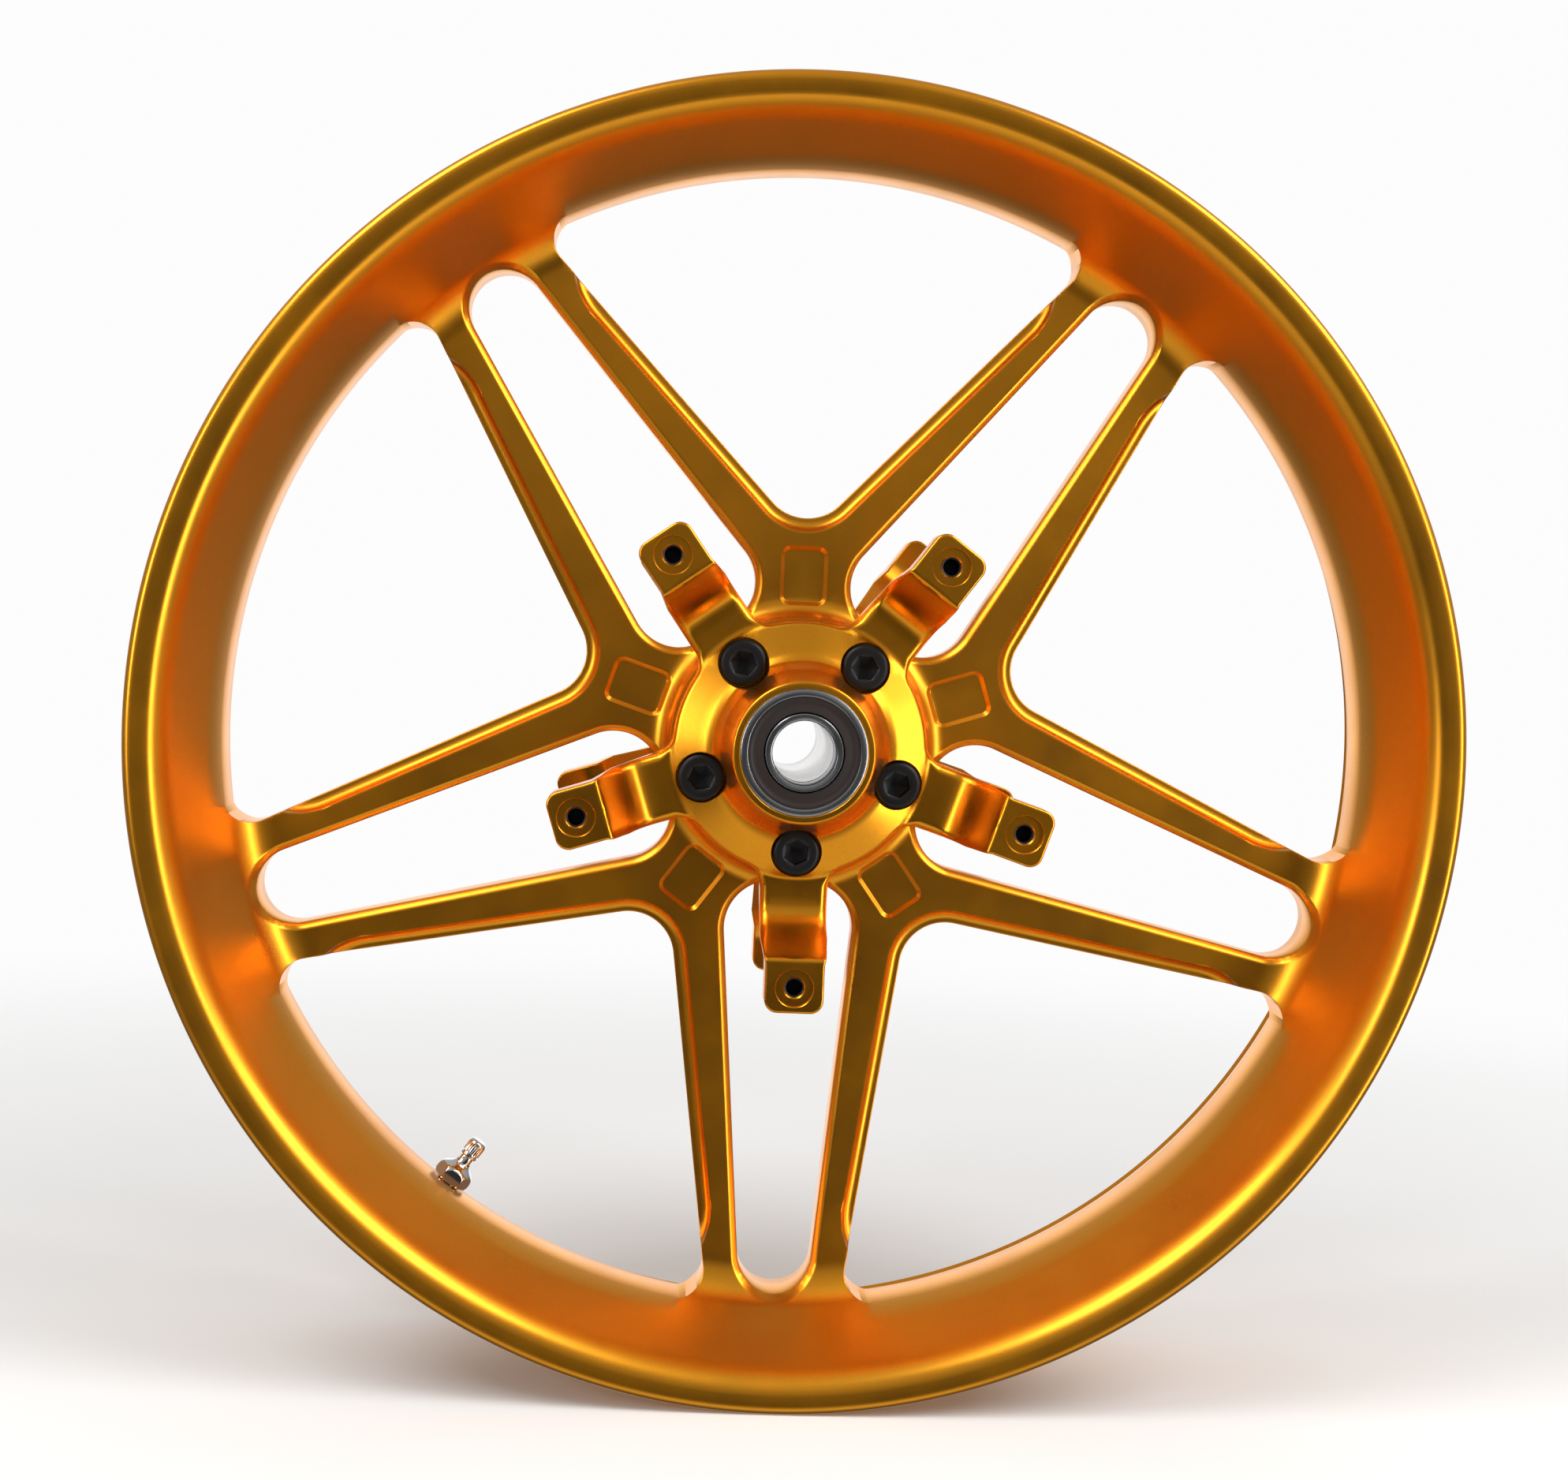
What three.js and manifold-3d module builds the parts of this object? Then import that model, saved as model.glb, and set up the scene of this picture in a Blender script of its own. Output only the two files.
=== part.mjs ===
// Forged 17 x 3.5 racing wheel: one forging, two bolted-on disc carriers, two sealed bearings, axle spacer, valve.
// Millimetres. The wheel turns about Y, the origin is its centre, +Z is up, the front face looks along -Y.
import * as THREE from "three";
import { mergeVertices } from "three/addons/utils/BufferGeometryUtils.js";
import Module from "manifold-3d";

const wasm = await Module();
wasm.setup();

// ---------- driving dimensions ----------
const SPOKE_PAIRS = 5;
const PITCH = 360 / SPOKE_PAIRS;
const RIM_SEGMENTS = 60;
const HUB_SEGMENTS = 36;

const WEB_HALF = 8.5; // half thickness of the spoke web
const LEDGE_HALF = 4.2; // half thickness left under the stepped window edges
const LEDGE_WIDTH = 4.6;
const SLOT_CHAMFER = 2;

const TIP_RADIUS = 232; // top of the tyre flanges
const RIM_HALF = 54;
const WELL_INNER = 204.2; // visible inner wall of the well, facing the windows
const WELL_OUTER = 208.4; // tyre side of the well

const WINDOW = { halfAngle: 43.7, apexZ: 98.6, apexRadius: 16.65, cornerRadius: 8.1 };
const SLOT = { taper: 4.72, halfAt100: 20.85, endZ: 186.9, footZ: 49.7, footRadius: 17.5 };
const RECESS = { radius: 61.1, width: 17, length: 21.4, corner: 3.6, depth: 1.2, slope: 1.4 };

const HUB_RADIUS = 46;
const HUB_HALF = 16; // the carriers seat on these faces
const HUB_BORE = 17;
const SPIGOT = { radius: 26, length: 3.7, clearance: 0.3 };

const BOLT_CIRCLE = 36.4;
const BOLT = { shank: 4.9, head: 8.15, headHeight: 10, length: 20, hexFlats: 8, hexDepth: 5 };
const BOLT_SEAT = 25;
const BOLT_HOLE = 5.2;
const BOLT_POCKET = 8.75;
const TAPPED_DEPTH = 13;

const PAD = { inner: 72.4, outer: 90, width: 20.5, corner: 4.6, height: 56, circle: 81.2 };
const PAD_COUNTERBORE = { radius: 6.55, depth: 1.4 };
const PAD_TAPPED = 3.4; // minor radius of an M8 thread
const ARM_WIDTH = 23.6;
const FLANGE = { radius: 45, inner: 33.5, high: 35.6, low: 31 };

const BEARING = { bore: 11, outer: 22, width: 12, face: 55, innerLand: 13.45, outerLand: 19.4 };
const BALL = { count: 9, radius: 3.1, circle: 16.42, groove: 0.55 };
const SEAL = { inner: 13.95, inset: 0.4, thickness: 0.8 };
const SPACER = { bore: 10.8, outer: 14 };

const VALVE_ANGLE = 216;
const VALVE = {
  seat: 203.7,
  outerSeat: 207.6,
  spotRadius: 10,
  hole: 4.15,
  stem: 3.85,
  neck: 2.5,
  bore: 1.6,
  nutCorner: 6.9,
};

// ---------- finishes ----------
const GOLD = { color: 0xb87413, roughness: 0.34, metalness: 0.95 };
const BLACK_STEEL = { color: 0x17171a, roughness: 0.42, metalness: 0.7 };
const BEARING_STEEL = { color: 0xb9bdc1, roughness: 0.2, metalness: 1 };
const SEAL_RUBBER = { color: 0x6a3420, roughness: 0.62, metalness: 0 };
const CAGE_POLYMER = { color: 0x2d3b2c, roughness: 0.55, metalness: 0 };
const BARE_ALUMINIUM = { color: 0x9c9fa1, roughness: 0.35, metalness: 0.95 };
const CHROME = { color: 0xd9dadb, roughness: 0.12, metalness: 1 };
const BLACK_RUBBER = { color: 0x141414, roughness: 0.8, metalness: 0 };
const BRASS = { color: 0xb08d3c, roughness: 0.3, metalness: 0.9 };

const group = new THREE.Group();
group.name = "forged_wheel";

// ---------- solids ----------
function solid(geometry) {
  geometry.deleteAttribute("normal");
  geometry.deleteAttribute("uv");
  const welded = mergeVertices(geometry, 1e-4);
  const vertProperties = new Float32Array(welded.attributes.position.array);
  const triVerts = new Uint32Array(welded.index.array);
  return new wasm.Manifold(new wasm.Mesh({ numProp: 3, vertProperties, triVerts }));
}

function addPart(name, body, finish) {
  const mesh = body.getMesh();
  const geometry = new THREE.BufferGeometry();
  geometry.setAttribute("position", new THREE.BufferAttribute(new Float32Array(mesh.vertProperties), 3));
  geometry.setIndex(new THREE.BufferAttribute(new Uint32Array(mesh.triVerts), 1));
  geometry.computeVertexNormals();
  const part = new THREE.Mesh(geometry, new THREE.MeshStandardMaterial(finish));
  part.name = name;
  group.add(part);
}

// Revolves a closed [radius, y] outline, listed anticlockwise, about Y.
function turned(outline, segments) {
  const points = outline.map(([radius, y]) => new THREE.Vector2(radius, y));
  points.push(points[0].clone());
  return solid(new THREE.LatheGeometry(points, segments));
}

// Extrudes an x-z outline through y from -high to -low, so "high" is the distance toward the front face.
function plate(shape, low, high, curveSegments = 6) {
  const geometry = new THREE.ExtrudeGeometry(shape, { depth: high - low, bevelEnabled: false, curveSegments });
  geometry.rotateX(Math.PI / 2);
  geometry.translate(0, -low, 0);
  return solid(geometry);
}

// A cutter whose outline grows by "spread" between the heights low and high, and stays grown above.
function flaredCutter(shape, low, high, spread, curveSegments = 6) {
  const geometry = new THREE.ExtrudeGeometry(shape, {
    depth: 10,
    bevelEnabled: true,
    bevelThickness: high - low,
    bevelSize: spread,
    bevelSegments: 1,
    curveSegments,
  });
  geometry.rotateX(Math.PI / 2);
  geometry.translate(0, -high, 0);
  return solid(geometry);
}

function bodyUnion(bodies) {
  return wasm.Manifold.union(bodies);
}

// Turns a body clockwise about the axle, as seen from the front.
function atAngle(body, degrees) {
  return body.rotate([0, degrees, 0]);
}

function allRound(body, offset = 0) {
  const copies = [];
  for (let i = 0; i < SPOKE_PAIRS; i += 1) copies.push(atAngle(body, offset + i * PITCH));
  return copies;
}

// The rear copy of a front piece: half a turn about Z.
function rearCopy(body) {
  return body.rotate([0, 0, 180]);
}

function arcPoints(x, y, radius, from, to, steps) {
  const points = [];
  for (let i = 0; i <= steps; i += 1) {
    const angle = THREE.MathUtils.degToRad(from + ((to - from) * i) / steps);
    points.push([x + radius * Math.cos(angle), y + radius * Math.sin(angle)]);
  }
  return points;
}

function shapeOf(points) {
  return new THREE.Shape(points.map(([x, y]) => new THREE.Vector2(x, y)));
}

// ---------- window, slot and recess outlines, each drawn around the +Z direction ----------
// "grow" offsets the whole outline outwards.
function windowPoints(grow, outer = WELL_INNER) {
  const half = THREE.MathUtils.degToRad(WINDOW.halfAngle);
  const sideDistance = WINDOW.apexZ * Math.sin(half) - WINDOW.apexRadius - grow;
  const corner = WINDOW.cornerRadius;
  const rimStep = 360 / RIM_SEGMENTS;
  // The corner arc touches the side line and the outer arc.
  const centreOffset = sideDistance + corner;
  const along = Math.sqrt((outer - corner) ** 2 - centreOffset ** 2);
  const cornerX = Math.sin(half) * along - Math.cos(half) * centreOffset;
  const cornerZ = Math.cos(half) * along + Math.sin(half) * centreOffset;
  const outerAngle = THREE.MathUtils.radToDeg(Math.atan2(cornerZ, cornerX));
  const apexRadius = WINDOW.apexRadius + grow;
  const right = [
    ...arcPoints(0, WINDOW.apexZ, apexRadius, -90, -WINDOW.halfAngle, 3),
    ...arcPoints(cornerX, cornerZ, corner, -WINDOW.halfAngle, outerAngle, 3),
    ...arcPoints(0, 0, outer, 90 - 4 * rimStep, 90, 4),
  ];
  const left = right.slice(1, -1).reverse().map(([x, z]) => [-x, z]);
  return [...right, ...left];
}

function slotPoints(grow) {
  const taper = THREE.MathUtils.degToRad(SLOT.taper);
  const halfWidthAt = (z) => SLOT.halfAt100 - (z - 100) * Math.tan(taper) + grow / Math.cos(taper);
  const endRadius = (halfWidthAt(SLOT.endZ) - grow / Math.cos(taper)) * Math.cos(taper) + grow;
  const foot = SLOT.footRadius + grow;
  const footZ = SLOT.footZ + SLOT.footRadius;
  const footX = halfWidthAt(footZ) - foot / Math.cos(taper);
  const right = [
    [0, footZ - foot],
    ...arcPoints(footX, footZ, foot, -90, SLOT.taper, 3),
    ...arcPoints(0, SLOT.endZ, endRadius, SLOT.taper, 90, 4),
  ];
  const left = right.slice(1, -1).reverse().map(([x, z]) => [-x, z]);
  return [...right, ...left];
}

function roundedRectangle(width, length, corner, centreZ, steps = 2) {
  const x = width / 2 - corner;
  const z = length / 2 - corner;
  return [
    ...arcPoints(x, centreZ - z, corner, -90, 0, steps),
    ...arcPoints(x, centreZ + z, corner, 0, 90, steps),
    ...arcPoints(-x, centreZ + z, corner, 90, 180, steps),
    ...arcPoints(-x, centreZ - z, corner, 180, 270, steps),
  ];
}

// ---------- the forging: rim, web and hub ----------
function forging() {
  const frontFillet = { x: 189.2, radius: 16.5, sweep: 65.4 };
  const rearFillet = { x: 195.7, radius: 15, sweep: 73.1 };
  const rimFlange = [
    [218.3, 44.4],
    [228.8, 45.8],
    [231.4, 48],
    [TIP_RADIUS, 51.2],
    [229.4, RIM_HALF],
    [223.2, 53],
    [219.5, 50.6],
  ];
  const mirrored = (points) => points.map(([radius, y]) => [radius, -y]).reverse();
  const bossFillet = (side) => arcPoints(HUB_RADIUS + 7.5, side * (WEB_HALF + 7.5), 7.5, -90 * side, -180 * side, 2);
  // The front of the wheel is -Y; this outline runs up the tyre side from front to rear and back down the inside.
  const outline = [
    ...mirrored(rimFlange),
    [217, -31],
    [WELL_OUTER, -13],
    [WELL_OUTER, 3],
    [217, 29],
    ...rimFlange,
    ...arcPoints(rearFillet.x, WEB_HALF + rearFillet.radius, rearFillet.radius, rearFillet.sweep - 90, -90, 2),
    ...bossFillet(1).map(([radius, y]) => [radius, y]),
    [SPIGOT.radius + SPIGOT.clearance, HUB_HALF],
    [SPIGOT.radius + SPIGOT.clearance, HUB_HALF - SPIGOT.length - SPIGOT.clearance],
    [HUB_BORE, HUB_HALF - SPIGOT.length - SPIGOT.clearance],
    [HUB_BORE, -HUB_HALF + SPIGOT.length + SPIGOT.clearance],
    [SPIGOT.radius + SPIGOT.clearance, -HUB_HALF + SPIGOT.length + SPIGOT.clearance],
    [SPIGOT.radius + SPIGOT.clearance, -HUB_HALF],
    ...bossFillet(-1).reverse(),
    ...arcPoints(frontFillet.x, -WEB_HALF - frontFillet.radius, frontFillet.radius, 90, 90 - frontFillet.sweep, 2),
  ];
  let body = turned(outline, RIM_SEGMENTS);

  const windowCut = plate(shapeOf(windowPoints(0)), -45, 45);
  // Behind a window the rear cone runs straight down to the well, so the rear fillet is cut away there.
  const behindCone = turned([[0, 0], [WELL_INNER, 0], [219.5, 50.6], [0, 50.6]], RIM_SEGMENTS);
  const rearRelief = plate(shapeOf(windowPoints(0, 214)), -45, 0).intersect(behindCone);
  const ledgeShape = shapeOf(windowPoints(LEDGE_WIDTH).map(([x, z]) => [x, Math.min(z, 172)]));
  const frontLedge = plate(ledgeShape, LEDGE_HALF, 16);
  const slotCut = plate(shapeOf(slotPoints(0)), -45, 45);
  const frontSlotChamfer = flaredCutter(shapeOf(slotPoints(0)), WEB_HALF - SLOT_CHAMFER, WEB_HALF, SLOT_CHAMFER);
  const recessFloor = roundedRectangle(
    RECESS.width - 2 * RECESS.slope,
    RECESS.length - 2 * RECESS.slope,
    RECESS.corner - RECESS.slope / 2,
    RECESS.radius,
  );
  const frontRecess = flaredCutter(shapeOf(recessFloor), WEB_HALF - RECESS.depth, WEB_HALF, RECESS.slope);
  const tappedHole = cylinderAlongY(BOLT_HOLE, HUB_HALF - TAPPED_DEPTH, HUB_HALF + 5, 12).translate([0, 0, BOLT_CIRCLE]);

  const cutters = [
    ...allRound(windowCut),
    ...allRound(rearRelief),
    ...allRound(slotCut, PITCH / 2),
    ...allRound(frontLedge),
    ...allRound(rearCopy(frontLedge)),
    ...allRound(frontSlotChamfer, PITCH / 2),
    ...allRound(rearCopy(frontSlotChamfer), PITCH / 2),
    ...allRound(frontRecess),
    ...allRound(rearCopy(frontRecess)),
    ...allRound(tappedHole, PITCH / 2),
    ...allRound(rearCopy(tappedHole), PITCH / 2),
    atAngle(valveSeatCutter(), VALVE_ANGLE),
  ];
  body = body.subtract(bodyUnion(cutters));
  return body;
}

// A cylinder about Y between two distances toward the front.
function cylinderAlongY(radius, low, high, segments) {
  return turned([[0, -high], [radius, -high], [radius, -low], [0, -low]], segments);
}

// A turned piece about Z: the outline is [radius, z].
function turnedAboutZ(outline, segments) {
  return turned(outline, segments).rotate([90, 0, 0]);
}

function valveSeatCutter() {
  const inside = turnedAboutZ([[0, VALVE.seat - 12], [VALVE.spotRadius, VALVE.seat - 12],
    [VALVE.spotRadius, VALVE.seat], [0, VALVE.seat]], 24);
  const outside = turnedAboutZ([[0, VALVE.outerSeat], [9, VALVE.outerSeat], [9, 225], [0, 225]], 24);
  const hole = turnedAboutZ([[0, 195], [VALVE.hole, 195], [VALVE.hole, 215], [0, 215]], 24);
  return bodyUnion([inside, outside, hole]);
}

// ---------- disc carrier: bearing housing, flange and five arms ----------
function discCarrier() {
  const housing = turned([
    [HUB_BORE, -BEARING.face + BEARING.width],
    [HUB_BORE + 5, -BEARING.face + BEARING.width],
    [BEARING.outer, -BEARING.face],
    [24.6, -BEARING.face],
    [28.3, -42],
    [31, -37.4],
    [FLANGE.inner, -FLANGE.high],
    [FLANGE.radius, -FLANGE.low],
    [FLANGE.radius, -HUB_HALF],
    [SPIGOT.radius, -HUB_HALF],
    [SPIGOT.radius, -HUB_HALF + SPIGOT.length],
    [HUB_BORE, -HUB_HALF + SPIGOT.length],
  ], HUB_SEGMENTS);

  const armSide = shapeOf([
    [38, HUB_HALF],
    [47, HUB_HALF],
    [53, 19.5],
    [66, 34.5],
    [71, 39],
    [77, 41.5],
    [PAD.outer, 42],
    [PAD.outer, PAD.height],
    [PAD.inner, PAD.height],
    [70, 53],
    [66, 41.5],
    [62.5, 34.5],
    [58.5, 31],
    [55, 30.2],
    [47, 30.2],
    [44, 30.8],
    [38, 31],
  ]);
  // Side view (radius, height) swept across the arm, then trimmed to the plan view.
  const sweep = new THREE.ExtrudeGeometry(armSide, { depth: 40, bevelEnabled: false });
  sweep.translate(0, 0, -20);
  sweep.applyMatrix4(new THREE.Matrix4().set(0, 0, 1, 0, 0, -1, 0, 0, 1, 0, 0, 0, 0, 0, 0, 1));
  const half = PAD.width / 2;
  const armHalf = ARM_WIDTH / 2;
  const rightSide = [
    [armHalf + 5.5, 40],
    [armHalf + 2.2, 46.5],
    [armHalf + 0.3, 53],
    [armHalf, 66],
    [half, PAD.inner],
    ...arcPoints(half - PAD.corner, PAD.outer - PAD.corner, PAD.corner, 0, 90, 3),
  ];
  const leftSide = rightSide.slice().reverse().map(([x, z]) => [-x, z]);
  const plan = plate(shapeOf([...rightSide, ...leftSide]), 10, 60);
  const arm = solid(sweep).intersect(plan);

  const boltPocket = cylinderAlongY(BOLT_POCKET, BOLT_SEAT, 60, 16).translate([0, 0, BOLT_CIRCLE]);
  const boltHole = cylinderAlongY(BOLT_HOLE, 5, 30, 12).translate([0, 0, BOLT_CIRCLE]);
  const padBore = cylinderAlongY(PAD_COUNTERBORE.radius, PAD.height - PAD_COUNTERBORE.depth, 70, 16);
  const padHole = cylinderAlongY(PAD_TAPPED, 30, 60, 12);
  const padCut = bodyUnion([padBore, padHole]).translate([0, 0, PAD.circle]);
  const bearingRoom = cylinderAlongY(BEARING.outer, BEARING.face - BEARING.width, 80, HUB_SEGMENTS);

  const body = bodyUnion([housing, ...allRound(arm, PITCH / 2)]);
  return body.subtract(bodyUnion([
    ...allRound(boltPocket, PITCH / 2),
    ...allRound(boltHole, PITCH / 2),
    ...allRound(padCut, PITCH / 2),
    bearingRoom,
  ]));
}

// ---------- socket-head bolt on the +Z side of the bolt circle ----------
function carrierBolt() {
  const top = BOLT_SEAT + BOLT.headHeight;
  const tip = BOLT_SEAT - BOLT.length;
  const body = turned([
    [0, -top],
    [BOLT.head - 0.8, -top],
    [BOLT.head, -top + 0.8],
    [BOLT.head, -BOLT_SEAT],
    [BOLT.shank, -BOLT_SEAT],
    [BOLT.shank, -tip],
    [0, -tip],
  ], 12);
  const hexCorner = BOLT.hexFlats / Math.sqrt(3);
  const hex = turned([[0, -top - 1], [hexCorner, -top - 1], [hexCorner, -top + BOLT.hexDepth],
    [0, -top + BOLT.hexDepth]], 6);
  return body.subtract(hex).translate([0, 0, BOLT_CIRCLE]);
}

// ---------- bearing, drawn in its front position ----------
function bearingRing(bore, outer, grooveSide) {
  const front = -BEARING.face;
  const rear = front + BEARING.width;
  const middle = (front + rear) / 2;
  const groove = (land, direction) => [
    [land, middle - 2.3 * direction],
    [land + BALL.groove * grooveSide, middle - 1.3 * direction],
    [land + BALL.groove * grooveSide, middle + 1.3 * direction],
    [land, middle + 2.3 * direction],
  ];
  const outerSide = grooveSide < 0 ? groove(outer, 1) : [];
  const innerSide = grooveSide > 0 ? groove(bore, -1) : [];
  return turned([
    [bore, front],
    [outer, front],
    ...outerSide,
    [outer, rear],
    [bore, rear],
    ...innerSide,
  ], HUB_SEGMENTS);
}

function bearingSeal(distanceFromFace) {
  const front = -BEARING.face + distanceFromFace;
  const rear = front + SEAL.thickness;
  return turned([[SEAL.inner, front], [BEARING.outerLand, front], [BEARING.outerLand, rear],
    [SEAL.inner, rear]], HUB_SEGMENTS);
}

function bearingCage() {
  const middle = -BEARING.face + BEARING.width / 2;
  const ring = turned([[15.2, middle + 3.4], [17.7, middle + 3.4], [17.7, middle + 4.3],
    [15.2, middle + 4.3]], HUB_SEGMENTS);
  const finger = solid(new THREE.BoxGeometry(2.2, 5.6, 2.2)).translate([0, middle + 1, BALL.circle]);
  const fingers = [];
  for (let i = 0; i < BALL.count; i += 1) fingers.push(atAngle(finger, ((i + 0.5) * 360) / BALL.count));
  return bodyUnion([ring, ...fingers]);
}

function bearingBall(index) {
  const middle = -BEARING.face + BEARING.width / 2;
  const ball = solid(new THREE.IcosahedronGeometry(BALL.radius, 1));
  return atAngle(ball.translate([0, middle, BALL.circle]), (index * 360) / BALL.count);
}

// ---------- valve, drawn along +Z with its tip toward the hub ----------
function valvePieces() {
  const seat = VALVE.seat;
  const ring = (inner, outer, low, high, segments = 20) =>
    turnedAboutZ([[inner, low], [outer, low], [outer, high], [inner, high]], segments);
  const stem = turnedAboutZ([
    [VALVE.bore, 188.4],
    [VALVE.neck, 188.4],
    [VALVE.neck, seat - 6.4],
    [VALVE.stem, seat - 6.2],
    [VALVE.stem, 209.2],
    [7, 209.2],
    [8, 209.8],
    [8, 211],
    [VALVE.bore, 211],
  ], 20);
  const washer = ring(VALVE.hole, 8, VALVE.outerSeat, 209.2);
  const nutBody = turnedAboutZ([[4.15, seat - 6], [5.2, seat - 6], [VALVE.nutCorner, seat - 3.4],
    [VALVE.nutCorner, seat], [4.15, seat]], 12);
  const core = ring(0.75, VALVE.bore, 190.2, 197);
  const pin = turnedAboutZ([[0, 189.2], [0.45, 189.2], [0.45, 198], [0, 198]], 12);
  const cap = turnedAboutZ([[0, 185.7], [2.6, 185.7], [3.3, 186.5], [3.3, 192.6], [2.85, 192.6],
    [2.85, 187.3], [0, 187.3]], 20);
  const capSeal = ring(1.1, 2.5, 187.6, 188.1, 16);
  return { stem, washer, nutBody, core, pin, cap, capSeal };
}

// ---------- assembly ----------
addPart("wheel_forging", forging(), GOLD);

const sides = [["left", (body) => body], ["right", rearCopy]];
for (const [side, place] of sides) {
  addPart(`${side}_disc_carrier`, place(discCarrier()), GOLD);
  for (let i = 0; i < SPOKE_PAIRS; i += 1) {
    const bolt = atAngle(carrierBolt(), PITCH / 2 + i * PITCH);
    addPart(`${side}_carrier_bolt_${i + 1}`, place(bolt), BLACK_STEEL);
  }
  addPart(`${side}_bearing_outer_ring`, place(bearingRing(BEARING.outerLand, BEARING.outer, 1)), BEARING_STEEL);
  addPart(`${side}_bearing_inner_ring`, place(bearingRing(BEARING.bore, BEARING.innerLand, -1)), BEARING_STEEL);
  addPart(`${side}_bearing_outer_seal`, place(bearingSeal(SEAL.inset)), SEAL_RUBBER);
  const innerInset = BEARING.width - SEAL.inset - SEAL.thickness;
  addPart(`${side}_bearing_inner_seal`, place(bearingSeal(innerInset)), SEAL_RUBBER);
  addPart(`${side}_bearing_cage`, place(bearingCage()), CAGE_POLYMER);
  for (let i = 0; i < BALL.count; i += 1) {
    addPart(`${side}_bearing_ball_${i + 1}`, place(bearingBall(i)), BEARING_STEEL);
  }
}

const spacerHalf = BEARING.face - BEARING.width;
const spacer = turned([[SPACER.bore, -spacerHalf], [SPACER.outer, -spacerHalf], [SPACER.outer, spacerHalf],
  [SPACER.bore, spacerHalf]], HUB_SEGMENTS);
addPart("axle_spacer", spacer, BARE_ALUMINIUM);

const valve = valvePieces();
addPart("valve_stem", atAngle(valve.stem, VALVE_ANGLE), CHROME);
addPart("valve_washer", atAngle(valve.washer, VALVE_ANGLE), BLACK_RUBBER);
addPart("valve_nut", atAngle(valve.nutBody, VALVE_ANGLE), CHROME);
addPart("valve_core", atAngle(valve.core, VALVE_ANGLE), BRASS);
addPart("valve_pin", atAngle(valve.pin, VALVE_ANGLE), BRASS);
addPart("valve_cap", atAngle(valve.cap, VALVE_ANGLE), CHROME);
addPart("valve_cap_seal", atAngle(valve.capSeal, VALVE_ANGLE), BLACK_RUBBER);

export default group;
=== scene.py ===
"""Studio scene for a forged 17 x 3.5 racing wheel: disc carriers, sealed bearings and a tyre valve.

Shapes are worked out in millimetres as (x, z) in the wheel's plane plus a height toward the front face;
the front face looks along -Y, so a height h becomes y = -h.
"""

import math

import bmesh
import bpy
import numpy as np
from mathutils import Matrix, Vector
from mathutils.geometry import delaunay_2d_cdt


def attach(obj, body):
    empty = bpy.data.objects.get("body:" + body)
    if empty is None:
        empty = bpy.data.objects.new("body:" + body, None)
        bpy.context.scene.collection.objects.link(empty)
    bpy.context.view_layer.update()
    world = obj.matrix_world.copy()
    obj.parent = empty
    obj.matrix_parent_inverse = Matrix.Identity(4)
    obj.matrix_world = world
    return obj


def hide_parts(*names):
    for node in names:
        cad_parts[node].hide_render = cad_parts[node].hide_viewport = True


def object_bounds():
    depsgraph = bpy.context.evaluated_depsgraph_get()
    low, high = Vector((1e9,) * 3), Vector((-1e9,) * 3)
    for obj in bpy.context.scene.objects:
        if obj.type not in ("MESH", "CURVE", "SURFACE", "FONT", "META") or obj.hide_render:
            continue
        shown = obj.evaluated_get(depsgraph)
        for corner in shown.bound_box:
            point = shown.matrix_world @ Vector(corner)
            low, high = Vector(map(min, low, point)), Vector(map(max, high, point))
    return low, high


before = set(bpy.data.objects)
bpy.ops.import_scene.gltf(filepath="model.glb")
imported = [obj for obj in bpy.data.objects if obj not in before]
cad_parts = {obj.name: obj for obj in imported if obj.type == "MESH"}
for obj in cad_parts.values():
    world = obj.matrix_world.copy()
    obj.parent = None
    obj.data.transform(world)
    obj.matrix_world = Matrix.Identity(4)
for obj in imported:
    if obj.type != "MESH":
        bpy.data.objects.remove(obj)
cad_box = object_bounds()

# ---------- dimensions, in millimetres and degrees ----------
MM = 0.001
PAIRS = 5
PITCH = 360 / PAIRS
HALF_PITCH = PITCH / 2

WEB_HALF = 8.5
WELL_INNER = 204.2
FRONT_FILLET = {"start": 189.2, "radius": 16.5}
FILLET_REACH = WELL_INNER - FRONT_FILLET["start"]
FILLET_RISE = FRONT_FILLET["radius"] - math.sqrt(FRONT_FILLET["radius"] ** 2 - FILLET_REACH**2)
WELL_DEPTH_FRONT = WEB_HALF + FILLET_RISE
REAR_FILLET = {"start": 195.7, "radius": 15.0}
CONE_SLOPE = 50.6 / 15.3
BOSS = {"radius": 46.0, "height": 16.0, "fillet": 7.5, "joint": 46.9}
HUB_BORE = 17.0
SPIGOT = {"radius": 26.3, "floor": 12.0}

WINDOW = {"half_angle": 43.7, "apex_z": 98.6, "apex_radius": 16.65, "tangent": 26.0}
LEDGE = {"floor": 4.5, "flat": 1.0, "cove": 4.0, "width": 4.6, "runout_from": 170.0, "runout_rate": 56.0}
EDGE_ROUND = 0.35
EDGE_FADE = {"end": 203.0, "length": 5.0}  # where the windows' edge rounding dies away
CORNER_BLEND = {"degrees": 3.0, "start": 195.0}  # from the rear fillet to the rear cone
SLOT = {"taper": 4.72, "half_at_100": 20.85, "end_z": 186.9, "foot_z": 49.7, "foot_radius": 17.5}
SLOT_CHAMFER = [(0, 1.95), (0.35, 1.4), (2.0, 0.14), (2.5, 0.0)]
RECESS = {"z": 61.1, "width": 17.0, "length": 21.4, "corner": 3.6, "depth": 1.2, "slope": 1.4}

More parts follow.
